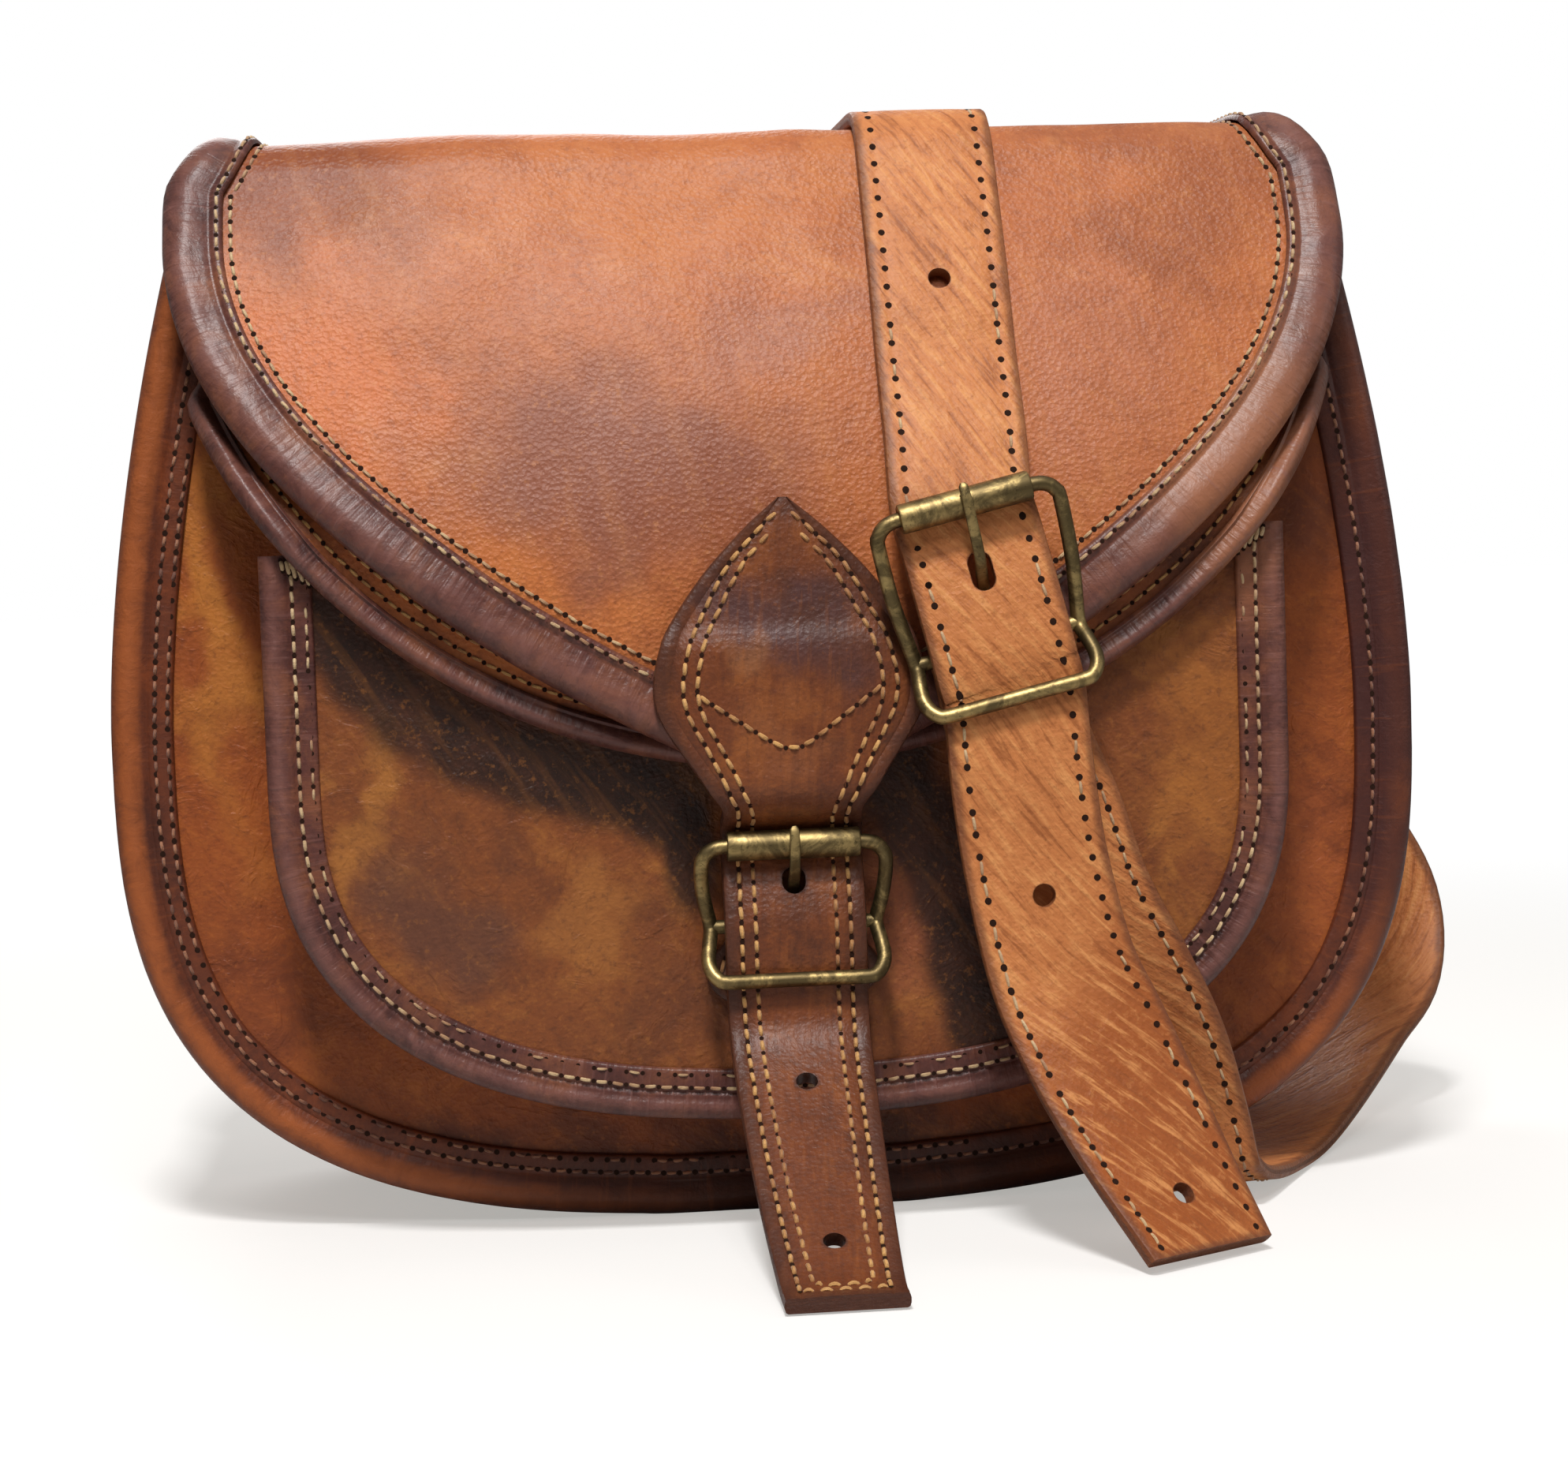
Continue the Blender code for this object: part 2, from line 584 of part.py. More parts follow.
def pocket_flap_edge(radius, skipped):
    """Heights and half widths of a round flap, from its hinge to its tip."""
    centre_z = POCKET_FLAP_TIP_Z + POCKET_FLAP_RADIUS
    shrink = POCKET_FLAP_RADIUS - radius
    splay = 0.7
    edge = []
    steps = 7
    for k in range(skipped, steps + 1):
        z = POCKET_FLAP_HINGE_Z + (POCKET_FLAP_LEVEL_Z - POCKET_FLAP_HINGE_Z) * k / steps
        top_half = POCKET_FLAP_TOP_HALF_WIDTH - shrink + (POCKET_FLAP_HINGE_Z - z) * splay
        edge.append((z, min(top_half, math.sqrt(radius**2 - (z - centre_z) ** 2))))
    lowest_round = math.acos((centre_z - POCKET_FLAP_LEVEL_Z) / radius)
    steps = 10
    for k in range(1, steps + 1):
        angle = lowest_round * (1 - (k / steps) ** 1.5)
        edge.append((centre_z - radius * math.cos(angle), radius * math.sin(angle)))
    return edge


def build_pocket_flap():
    """Round pocket flap and its rolled edge."""
    plate = pocket_flap_edge(POCKET_FLAP_RADIUS - PLATE_INSET, 0)
    plate[-1] = (plate[-1][0], 1.0)
    sheet = build_flap_sheet("pocket_flap", [], plate, over_pocket_flap, POCKET_FLAP_THICKNESS)
    edge = pocket_flap_edge(POCKET_FLAP_RADIUS, 1)
    binding = build_flap_binding("pocket_flap_binding", [], edge, over_pocket_flap, POCKET_FLAP_BINDING)
    return [sheet, binding]


class Strap:
    """Flat strap of leather that follows its stations."""

    def __init__(self, name, stations, finish=STRAP_LEATHER, steps=3):
        packed = [Vector((*s.point, *s.facing, s.width, s.thickness)) for s in stations]
        self.path = smooth_path(packed, steps)
        self.points = [Vector(p[0:3]) for p in self.path]
        self.directions = tangents(self.points)
        rings = []
        for station, point, along in zip(self.path, self.points, self.directions):
            across = Vector(station[3:6]).cross(along).normalized()
            half = across * station[6] / 2
            lift = along.cross(across) * station[7] / 2
            rings.append([point - half - lift, point + half - lift, point + half + lift, point - half + lift])
        builder = bmesh.new()
        add_rings(builder, rings)
        self.made = make_object(name, builder, finish)

    def punch(self, near, distance, length):
        """Cut a round-ended hole through the strap, at a distance along it from the point near a place."""
        start = min(range(len(self.points)), key=lambda i: (self.points[i] - near).length)
        step = 1 if distance > 0 else -1
        left = abs(distance)
        i = start
        while left > 0 and 0 < i + step < len(self.points):
            span = (self.points[i + step] - self.points[i]).length
            share = min(left / span, 1.0)
            centre = self.points[i].lerp(self.points[i + step], share)
            left -= span
            i += step
        along = self.directions[i]
        if distance == 0:
            centre = near
        across = Vector(self.path[i][3:6]).cross(along).normalized()
        cutter = hole_cutter(f"{self.made.name}_hole_{round(distance)}", centre, along, across, length)
        cut_with(self.made, cutter)


def hole_cutter(name, centre, along, across, length):
    """Round-ended cutter whose long side follows the strap."""
    radius = HOLE_DIAMETER / 2
    straight = (length - HOLE_DIAMETER) / 2
    through = along.cross(across)
    sides = 12
    ring = []
    for k in range(sides):
        angle = 2 * math.pi * (k + 0.5) / sides
        stretch = math.copysign(straight, math.cos(angle))
        ring.append(along * (radius * math.cos(angle) + stretch) + across * radius * math.sin(angle))
    half_depth = 2 * STRAP_THICKNESS
    builder = bmesh.new()
    add_rings(builder, [[centre + p + through * depth for p in ring] for depth in (-half_depth, half_depth)])
    return make_object(name, builder, GUIDE)


class Buckle:
    """Double-loop roller buckle. Local axes: across the strap, up the strap, out of the strap."""

    def __init__(self, bar_centre, tilt, roller_reach, keeper_reach, slot):
        angle = math.radians(tilt)
        self.across = Vector((math.cos(angle), 0, math.sin(angle)))
        self.up = Vector((-math.sin(angle), 0, math.cos(angle)))
        self.bar_centre = Vector(bar_centre)
        self.roller_reach = roller_reach
        self.keeper_reach = keeper_reach
        self.slot_start, self.slot_end = slot
        self.side = STRAP_WIDTH / 2 + BUCKLE_SIDE_PLAY + WIRE_DIAMETER / 2
        self.behind_roller = ROLLER_RISE - ROLLER_DIAMETER / 2 - GAP - STRAP_THICKNESS / 2
        self.behind_keeper = KEEPER_RISE - WIRE_DIAMETER / 2 - GAP - STRAP_THICKNESS / 2

    def place(self, u, v, n):
        """World position of a local one."""
        return self.bar_centre + self.across * u + self.up * v + FORWARD * n

    def frame_path(self):
        """Centre line of the bent wire, all the way round."""
        top, low = self.roller_reach, -self.keeper_reach
        straight = STRAP_WIDTH / 2 - 0.1
        corner = 3.6
        top_side = self.side + BUCKLE_BOW
        half = [(straight, top, ROLLER_RISE)]
        for degrees in (35, 62, 90):
            angle = math.radians(degrees)
            sunk = 1 - math.cos(angle)
            half.append((straight + (top_side - straight) * math.sin(angle), top - corner * sunk,
                         ROLLER_RISE * (1 - 0.12 * sunk)))
        for share, bow in ((0.5, 0.9), (0.25, 0.5), (0.0, 0.0)):
            half.append((self.side + BUCKLE_BOW * bow, top * share, ROLLER_RISE * share))
        low_side = self.side + BUCKLE_BOW / 2
        turn = 0.6
        half.append(((self.side + low_side) / 2, low * turn / 2, KEEPER_RISE * turn / 2))
        for degrees in (0, 30, 60, 90):
            angle = math.radians(degrees)
            share = turn + (1 - turn) * math.sin(angle)
            u = straight + (low_side - straight) * math.cos(angle)
            half.append((u, low * share, KEEPER_RISE * share))
        return half + [(-u, v, n) for u, v, n in reversed(half)]

    def build_frame(self, name):
        """Bent wire loop with the centre bar joined across it."""
        points = [self.place(*p) for p in self.frame_path()]
        sides = 8
        radius = WIRE_DIAMETER / 2
        rings = [circle(point, along, FORWARD, radius, sides)
                 for point, along in zip(points, tangents(points, closed=True))]
        builder = bmesh.new()
        add_rings(builder, rings, closed=True)
        frame = make_object(name, builder, BRASS)
        ends = [self.place(-self.side, 0, 0), self.place(self.side, 0, 0)]
        builder = bmesh.new()
        add_rings(builder, [circle(end, self.across, FORWARD, radius, sides) for end in ends])
        cut_with(frame, make_object(name + "_centre_bar", builder, BRASS), "UNION")
        return frame

    def build_roller(self, name):
        """Turning tube on the top bar."""
        bore = WIRE_DIAMETER / 2 + GAP
        half = STRAP_WIDTH / 2 - 0.8
        profile = [(-half, bore), (half, bore), (half, ROLLER_DIAMETER / 2), (-half, ROLLER_DIAMETER / 2)]
        sides = 16
        rings = []
        for k in range(sides):
            angle = 2 * math.pi * k / sides
            v, n = math.cos(angle), math.sin(angle)
            rings.append([self.place(u, self.roller_reach + r * v, ROLLER_RISE + r * n) for u, r in profile])
        builder = bmesh.new()
        add_rings(builder, rings, closed=True)
        return make_object(name, builder, BRASS)

    def build_prong(self, name):
        """Flat prong, curled round the centre bar, out through the strap and onto the roller."""
        curl = WIRE_DIAMETER / 2 + GAP + PRONG_THICKNESS / 2
        over_roller = ROLLER_RISE + ROLLER_DIAMETER / 2 + GAP + PRONG_THICKNESS / 2
        path = []
        for degrees in (60, 20, -20, -60, -100, -140, -180):
            angle = math.radians(degrees)
            path.append((curl * math.sin(angle), curl * math.cos(angle)))
        slot = self.slot_end - self.slot_start
        path += [(curl * 0.9, -curl * 0.75), (self.slot_start - 1.0, -0.1),
                 (self.slot_start, STRAP_THICKNESS / 4), (self.slot_start + slot * 0.45, 3.0),
                 (self.slot_start + slot * 0.9, 6.0),
                 (self.roller_reach - 1.5, over_roller - 0.2), (self.roller_reach + 1.2, over_roller),
                 (self.roller_reach + 2.6, over_roller - 0.1)]
        points = [Vector((0, v, n)) for v, n in path]
        rings = []
        for point, along in zip(points, tangents(points)):
            lift = Vector((0, -along.z, along.y)) * PRONG_THICKNESS / 2
            ring = []
            for side, over in ((-1, -1), (1, -1), (1, 1), (-1, 1)):
                corner = point + lift * over
                ring.append(self.place(side * PRONG_WIDTH / 2, corner.y, corner.z))
            rings.append(ring)
        builder = bmesh.new()
        add_rings(builder, rings)
        return make_object(name, builder, BRASS)

    def fold(self):
        """Stations of leather folded over the centre bar from behind."""
        radius = WIRE_DIAMETER / 2 + GAP + FOLD_THICKNESS / 2
        width = STRAP_WIDTH - 1.0
        stations = []
        for degrees in range(0, 181, 30):
            angle = math.radians(degrees)
            v, n = radius * math.sin(angle), -radius * math.cos(angle)
            facing = self.up * -math.sin(angle) + FORWARD * math.cos(angle)
            stations.append(Station(self.place(0, v, n), facing, width, FOLD_THICKNESS))
        for v in (-1.3, -2.6):
            stations.append(Station(self.place(0, v, radius), BACKWARD, width, FOLD_THICKNESS))
        return stations

    def threaded(self):
        """Stations of a strap that runs behind the roller, over the bar and behind the keeper."""
        high, low, reach = STRAP_ON_BAR, self.behind_roller, self.roller_reach
        rise = high - low
        levels = [(reach, low), (reach * 0.72, low + rise * 0.22), (reach * 0.3, low + rise * 0.75),
                  (0.0, high), (-self.keeper_reach * 0.5, (high + self.behind_keeper) / 2 + 0.1),
                  (-self.keeper_reach, self.behind_keeper)]
        return [Station(self.place(0, v, n), FORWARD, STRAP_WIDTH, STRAP_THICKNESS) for v, n in levels]

    def slot_middle(self):
        """Middle of the hole that the prong goes through."""
        return self.place(0, (self.slot_start + self.slot_end) / 2, STRAP_ON_BAR / 2)

    def slot_fold(self, leather):
        """Cut the slot in which the prong's curl turns."""
        half = PRONG_WIDTH / 2 + 2 * GAP
        reach = WIRE_DIAMETER / 2 + FOLD_THICKNESS + PRONG_THICKNESS + GAP
        corners = ((-reach, -reach), (reach, -reach), (reach, reach), (-reach, reach))
        builder = bmesh.new()
        add_rings(builder, [[self.place(u, v, n) for v, n in corners] for u in (-half, half)])
        cut_with(leather, make_object(leather.name + "_slot", builder, GUIDE))

    def build_metal(self, name):
        """Frame, roller and prong."""
        frame = self.build_frame(name + "_frame")
        roller = self.build_roller(name + "_roller")
        prong = self.build_prong(name + "_prong")
        hang_on_pivot(name + "_roller_axis", self.place(0, self.roller_reach, ROLLER_RISE), [roller])
        hang_on_pivot(name + "_prong_axis", self.bar_centre, [prong])
        return frame


def build_buckle_tab(buckle):
    """Dark patch sewn on the pocket and folded round the closure buckle's centre bar."""
    on_pocket = POCKET_Y - GAP - BUCKLE_TAB_THICKNESS / 2
    height = CLOSURE_BAR_Z - BUCKLE_TAB_BOTTOM_Z
    narrow = STRAP_WIDTH - 1.0
    outline = ((0.02, 0.45), (0.1, 0.7), (0.26, 0.92), (0.45, 1.0), (0.62, 0.95))
    stations = []
    for rise, share in outline:
        point = Vector((0, on_pocket, BUCKLE_TAB_BOTTOM_Z + height * rise))
        stations.append(Station(point, FORWARD, BUCKLE_TAB_WIDTH * share, BUCKLE_TAB_THICKNESS))
    fold = buckle.fold()
    lifted = (Vector((0, on_pocket, BUCKLE_TAB_BOTTOM_Z + height * 0.8)) + fold[0].point) / 2
    lifted.z = BUCKLE_TAB_BOTTOM_Z + height * 0.82
    stations.append(Station(lifted, FORWARD, narrow, FOLD_THICKNESS))
    tab = Strap("buckle_tab", stations + fold, BROWN_LEATHER, steps=1).made
    buckle.slot_fold(tab)


def build_closure_strap(buckle):
    """Pointed tab sewn on the flap that runs on, through its buckle, as the closure strap."""
    tab_top = FLAP_TIP_Z + CLOSURE_TAB_HEIGHT
    widest = CLOSURE_TAB_HALF_WIDTH
    level, clear = STRAP_ON_FLAP, STRAP_ON_FLAP_BINDING
    tab = ((0.0, 0.04, level), (0.1, 0.3, level), (0.24, 0.6, level), (0.4, 0.85, (2 * level + clear) / 3),
           (0.5, 0.95, clear), (0.63, 1.0, clear), (0.74, 0.945, clear), (0.88, 0.76, clear),
           (0.97, 0.63, clear))
    stations = []
    for fall, share, height in tab:
        point = over_flap(0, tab_top - CLOSURE_TAB_HEIGHT * fall, height)
        stations.append(Station(point, FORWARD, 2 * widest * share, STRAP_THICKNESS))
    threaded = buckle.threaded()
    roller_y, roller_z = threaded[0].point.y, threaded[0].point.z
    turn_back = FLAP_Y - clear - roller_y
    drop = FLAP_TIP_Z - roller_z
    for share_y, share_z in ((0.73, 0.79), (0.2, 0.42)):
        point = Vector((0, roller_y + turn_back * share_y, roller_z + drop * share_z))
        stations.append(Station(point, FORWARD, STRAP_WIDTH, STRAP_THICKNESS))
    stations += threaded
    keeper_z = CLOSURE_BAR_Z - buckle.keeper_reach
    tail = ((4.6, 0.81, 0.1), (10.6, 0.64, 0.5), (23.6, 0.41, 0.9), (37.6, 0.2, 1.0), (52.0, 0.03, 1.6),
            (60.0, 0.0, 3.0))
    for forward, share, lean in tail:
        y = CLOSURE_BAR_Y - forward * ROUTE_SCALE
        z = FLOOR_LEVEL_Z + (keeper_z - FLOOR_LEVEL_Z) * share
        stations.append(strap_station(0, y, z, (0, -1, lean)))
    strap = Strap("closure_strap", stations, STRAP_LEATHER)
    slot = buckle.slot_middle()
    strap.punch(slot, 0, buckle.slot_end - buckle.slot_start)
    for number in (1, 2):
        strap.punch(slot, number * CLOSURE_HOLE_SPACING, HOLE_DIAMETER)
    return strap.made


def strap_station(x, y, z, facing):
    """Station of a shoulder strap."""
    return Station(Vector((x, y, z)), Vector(facing).normalized(), STRAP_WIDTH, STRAP_THICKNESS)


def build_long_strap_front(buckle):
    """Long strap from behind the ridge, over it, through the buckle and down to its end."""
    x = RIDGE_STRAP_X
    lying = STRAP_ON_FLAP + BINDING_PLAY / 2
    on_ridge = RIDGE_Z + lying
    back_y = BACK_Y + STRAP_BEHIND_Y
    stations = [
        strap_station(x, back_y, BODY_TOP_Z - 2.5, BACKWARD),
        strap_station(x, back_y - 0.6, BODY_TOP_Z + 1.5, (0, 1, 0.3)),
        strap_station(x, back_y - 3.6, on_ridge - 2.2, (0, 0.7, 1)),
    ]
    ridge = flap_ridge_rows(0)
    for row, facing in list(zip(ridge, row_facings(ridge)))[1:]:
        point = Vector((x, row.y, row.z)) + facing * lying
        stations.append(strap_station(*point, facing))
    lower_end = buckle.bar_centre.z + buckle.roller_reach + 25
    steps = 5
    for k in range(1, steps + 1):
        z = FLAP_BEND_Z + (lower_end - FLAP_BEND_Z) * k / steps
        point = over_flap(x, z, lying)
        stations.append(strap_station(*point, out_of_slope(flap_front_y, z)))
    threaded = buckle.threaded()
    entry = threaded[0].point
    lifting = over_flap(x, entry.z + 12, STRAP_ON_FLAP)
    stations.append(strap_station(lifting.x, (lifting.y + entry.y) / 2 + 1.5, lifting.z, (0, -1, 0.4)))
    stations += threaded
    keeper = threaded[-1].point
    tail = ((1.0, 0.3, 0.84, 0.0, 0.0), (2.9, 0.6, 0.68, 0.02, 0.05), (6.4, 2.2, 0.5, 0.07, 0.15),
            (11.2, 4.8, 0.37, 0.17, 0.3), (17.0, 9.0, 0.23, 0.32, 0.5), (22.6, 15.0, 0.1, 0.5, 0.8),
            (27.0, 21.5, 0.0, 0.68, 1.1))
    end_z = FLOOR_LEVEL_Z + STRAP_END_CLEAR_OF_FLOOR
    for right, forward, share, turn, lean in tail:
        x = keeper.x + right * ROUTE_SCALE
        y = keeper.y - forward * ROUTE_SCALE
        stations.append(strap_station(x, y, end_z + (keeper.z - end_z) * share, (turn, -1, lean)))
    strap = Strap("long_strap_front", stations, STRAP_LEATHER, steps=2)
    slot = buckle.slot_middle()
    strap.punch(slot, 0, buckle.slot_end - buckle.slot_start)
    for number in (-1, 1, 2):
        strap.punch(slot, number * SHOULDER_HOLE_SPACING, HOLE_DIAMETER)
    return strap.made


def anchored_end(x, outward):
    """Stations where a strap lies on the back panel, from its free side to its sewn end."""
    y = BACK_Y + GAP + STRAP_THICKNESS / 2
    below = ANCHOR_TOP_Z - ANCHOR_HEIGHT
    return [strap_station(x + outward * 1.0, y + 1.5, below - 6, BACKWARD),
            strap_station(x, y, below + 3, BACKWARD), strap_station(x, y, ANCHOR_TOP_Z - 2, BACKWARD)]


def build_anchor(name, x):
    """Patch sewn over a strap's end on the back panel."""
    front = BACK_Y + STRAP_THICKNESS + 2 * GAP
    half = STRAP_WIDTH / 2 + ANCHOR_MARGIN
    outline = [Vector((x - half, ANCHOR_TOP_Z)), Vector((x - half, ANCHOR_TOP_Z - ANCHOR_HEIGHT)),
               Vector((x + half, ANCHOR_TOP_Z - ANCHOR_HEIGHT)), Vector((x + half, ANCHOR_TOP_Z))]
    builder = bmesh.new()
    add_panel(builder, outline, front, front + ANCHOR_THICKNESS)
    make_object(name, builder, BROWN_LEATHER)


def build_long_strap_rear():
    """Long strap behind the bag: down, twisted through a hanging loop, and up to its sewn end."""
    x = RIDGE_STRAP_X
    flat_y = BACK_Y + STRAP_BEHIND_Y
    loop_y = BACK_Y + 3 + STRAP_WIDTH / 2
    top = BODY_TOP_Z - 2.5 - GAP
    radius = (x + ANCHOR_X) / 2
    middle = (x - ANCHOR_X) / 2
    centre_z = REAR_LOOP_LOW_Z + radius
    stations = [strap_station(x, flat_y, top, BACKWARD),
                strap_station(x, flat_y + 0.5, top - 16, (0.1, 1, 0)),
                strap_station(x, flat_y + 3, top - 42, (0.5, 0.9, 0)),
                strap_station(x, loop_y - 3, top - 68, (0.9, 0.45, 0))]
    for degrees in range(10, 176, 15):
        angle = math.radians(degrees)
        outward = Vector((math.cos(angle), 0, -math.sin(angle)))
        point = Vector((middle, loop_y, centre_z)) + outward * radius
        stations.append(strap_station(*point, outward))
    stations.append(strap_station(-ANCHOR_X - 0.5, loop_y - 1.5, centre_z + 8, (-0.8, 0.6, 0)))
    stations.append(strap_station(-ANCHOR_X - 0.3, loop_y - 6.5, centre_z + 20, (-0.3, 0.95, 0)))
    stations += anchored_end(-ANCHOR_X, 0)
    Strap("long_strap_rear", stations)
    build_anchor("strap_anchor_left", -ANCHOR_X)


def build_short_strap_front(buckle):
    """Short strap from under the corner up to the shoulder buckle, folded round its centre bar."""
    fold = buckle.fold()
    base = buckle.bar_centre
    pivot = Vector((SHORT_STRAP_PIVOT_X, SHORT_STRAP_PIVOT_Y, SHORT_STRAP_PIVOT_Z))
    span = base - pivot
    stations = []
    route = ((0.0, 0.0, 0.0), (0.06, 0.12, 0.09), (0.19, 0.38, 0.24), (0.33, 0.62, 0.38), (0.52, 0.78, 0.53),
             (0.68, 0.87, 0.68))
    for share_x, share_y, share_z in route:
        point = pivot + Vector((span.x * share_x, (span.y + 1.5) * share_y, span.z * share_z))
        lean = -0.9 * (1 - share_y)
        stations.append(strap_station(*point, (0, -1, lean)))
    full = -(FOLD_THICKNESS * 1.5 + WIRE_DIAMETER / 2 + GAP - STRAP_THICKNESS / 2)
    for v in (-20.0, -11.0):
        stations.append(Station(buckle.place(0, v, full), FORWARD, STRAP_WIDTH, STRAP_THICKNESS))
    strap = Strap("short_strap_front", stations + fold, STRAP_LEATHER, steps=2).made
    buckle.slot_fold(strap)
    return strap


def build_short_strap_rear():
    """Short strap under the bag's corner and up behind it to its sewn end."""
    near_pivot = 1.8 * ROUTE_SCALE
    stations = [strap_station(SHORT_STRAP_PIVOT_X + near_pivot, SHORT_STRAP_PIVOT_Y + 2 * near_pivot,
                              SHORT_STRAP_PIVOT_Z - 1.6 * near_pivot, (0, -1, -1.4))]
    under = ((6, 12, 1.8, (0, -0.25, -1)), (15, 30, 0.6, DOWN), (27, 52, 0.6, DOWN),
             (40, 72, 5.4, (0.2, 0.2, -1)), (53, 88, 15.4, (0.4, 0.5, -0.8)),
             (63, 98, 26.4, (0.5, 0.8, -0.4)))
    for right, back, rise, facing in under:
        stations.append(strap_station(SHORT_STRAP_PIVOT_X + right * ROUTE_SCALE,
                                      SHORT_STRAP_PIVOT_Y + back * ROUTE_SCALE,
                                      FLOOR_LEVEL_Z + rise * ROUTE_SCALE, facing))
    behind_y = BACK_Y + STRAP_BEHIND_Y
    upward = ((52, 1, 40, (0.45, 0.9, 0)), (45, 3, 54, (0.2, 1, 0.1)), (33, 3, 70, BACKWARD),
              (21, 2, 90, BACKWARD), (8, 0, 110, BACKWARD))
    for right, back, rise, facing in upward:
        stations.append(strap_station(ANCHOR_X + right * ROUTE_SCALE, behind_y + back * ROUTE_SCALE,
                                      FLOOR_LEVEL_Z + rise * ROUTE_SCALE, facing))
    Strap("short_strap_rear", stations + anchored_end(ANCHOR_X, 1))
    build_anchor("strap_anchor_right", ANCHOR_X)


def main():
    """Build the bag in an empty scene."""
    for old in list(bpy.data.objects):
        bpy.data.objects.remove(old)
    build_body()
    build_pocket()
    closure = Buckle((0, CLOSURE_BAR_Y, CLOSURE_BAR_Z), 0.0,
                     CLOSURE_ROLLER_REACH, CLOSURE_KEEPER_REACH, CLOSURE_SLOT)
    shoulder = Buckle((SHOULDER_BAR_X, SHOULDER_BAR_Y, SHOULDER_BAR_Z), SHOULDER_TILT,
                      SHOULDER_ROLLER_REACH, SHOULDER_KEEPER_REACH, SHOULDER_SLOT)
    closure.build_metal("closure_buckle")
    build_buckle_tab(closure)
    flap_parts = build_main_flap()
    flap_parts += [build_closure_strap(closure), build_long_strap_front(shoulder)]
    hang_on_pivot("flap_axis", (0, FLAP_HINGE_Y, FLAP_HINGE_Z), flap_parts)
    hang_on_pivot("pocket_flap_axis", (0, POCKET_FLAP_HINGE_Y, POCKET_FLAP_HINGE_Z), build_pocket_flap())
    shoulder_frame = shoulder.build_metal("shoulder_buckle")
    short_strap = build_short_strap_front(shoulder)
    hang_on_pivot("short_strap_axis", (SHORT_STRAP_PIVOT_X, SHORT_STRAP_PIVOT_Y, SHORT_STRAP_PIVOT_Z),
                  [short_strap, shoulder_frame])
    build_long_strap_rear()
    build_short_strap_rear()


main()
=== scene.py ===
"""Looks of a small leather saddle bag: its leather, seams, rolled edges and buckles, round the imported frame.

Sizes are in millimetres and meshes in metres. +X is the viewer's right, -Y the front, +Z up.
"""

import logging
import random
from bisect import bisect_right
from dataclasses import dataclass, field
from enum import Enum
from math import copysign, cos, hypot, pi, radians, sin, sqrt
from typing import Any, Callable, ClassVar, Optional, Sequence, Union

import bmesh
import bpy
import numpy as np
from mathutils import Matrix, Vector, noise

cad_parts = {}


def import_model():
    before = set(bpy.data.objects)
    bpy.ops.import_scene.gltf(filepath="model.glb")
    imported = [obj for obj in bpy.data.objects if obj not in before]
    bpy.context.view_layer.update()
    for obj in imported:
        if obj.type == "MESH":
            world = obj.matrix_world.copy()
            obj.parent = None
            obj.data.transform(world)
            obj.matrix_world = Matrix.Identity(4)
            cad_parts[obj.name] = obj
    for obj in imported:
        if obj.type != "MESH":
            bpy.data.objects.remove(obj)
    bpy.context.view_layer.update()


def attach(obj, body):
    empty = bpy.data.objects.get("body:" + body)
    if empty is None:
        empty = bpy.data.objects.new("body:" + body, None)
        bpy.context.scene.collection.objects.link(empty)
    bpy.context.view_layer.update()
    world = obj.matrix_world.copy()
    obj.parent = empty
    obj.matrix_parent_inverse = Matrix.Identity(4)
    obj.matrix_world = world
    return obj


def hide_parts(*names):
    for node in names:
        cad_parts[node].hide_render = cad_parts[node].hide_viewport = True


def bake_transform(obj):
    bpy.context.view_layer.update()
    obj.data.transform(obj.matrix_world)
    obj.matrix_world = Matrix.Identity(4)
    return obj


LOG = logging.getLogger("saddle_bag")
MM = 0.001
GAP = 0.3
Spot = tuple[float, float, float]
Colour = Spot
Place = tuple[float, float]
Profile = list[Spot]
Sewing = Sequence[tuple[Any, list[Vector], Any]]
Rows = list[Place]
Relief = Callable[[float, float], float]
Level = Union[float, Relief]
Line = Sequence[Vector]
Piece = bpy.types.Object

RIGHT = Vector((1, 0, 0))
FORWARD = Vector((0, -1, 0))
BACKWARD = Vector((0, 1, 0))
UP = Vector((0, 0, 1))

# Depths of the layers, and the hinge that the main flap turns on.
FRONT_Y = -38.0
BACK_Y = 38.0
POCKET_Y = -60.3
FLAP_Y = -69.95
FLAP_BEND_Y = -44.0
HINGE_Y = 38.5
HINGE_Z = 194.5
RIDGE_Z = 198.0
BODY_TOP_Z = 193.2
STRAP_WIDTH = 25.0
STRAP_THICKNESS = 2.6
FLOOR_LEVEL_Z = 1.7

# How far a sheet ends inside its rolled edge, the narrower leather folded round a bar, and a fine seam.
UNDER_ROLL = 1.9
FOLD_WIDTH = STRAP_WIDTH - 1.0
FINE = {"pitch": 2.9, "thread": 0.3}


class Slot(Enum):
    """Places in a piece's list of materials."""

    LEATHER = 0
    THREAD = 1
    HOLE = 2


class Side(Enum):
    """Which way a panel faces."""

    FRONT = -1
    BACK = 1


# Shader tools


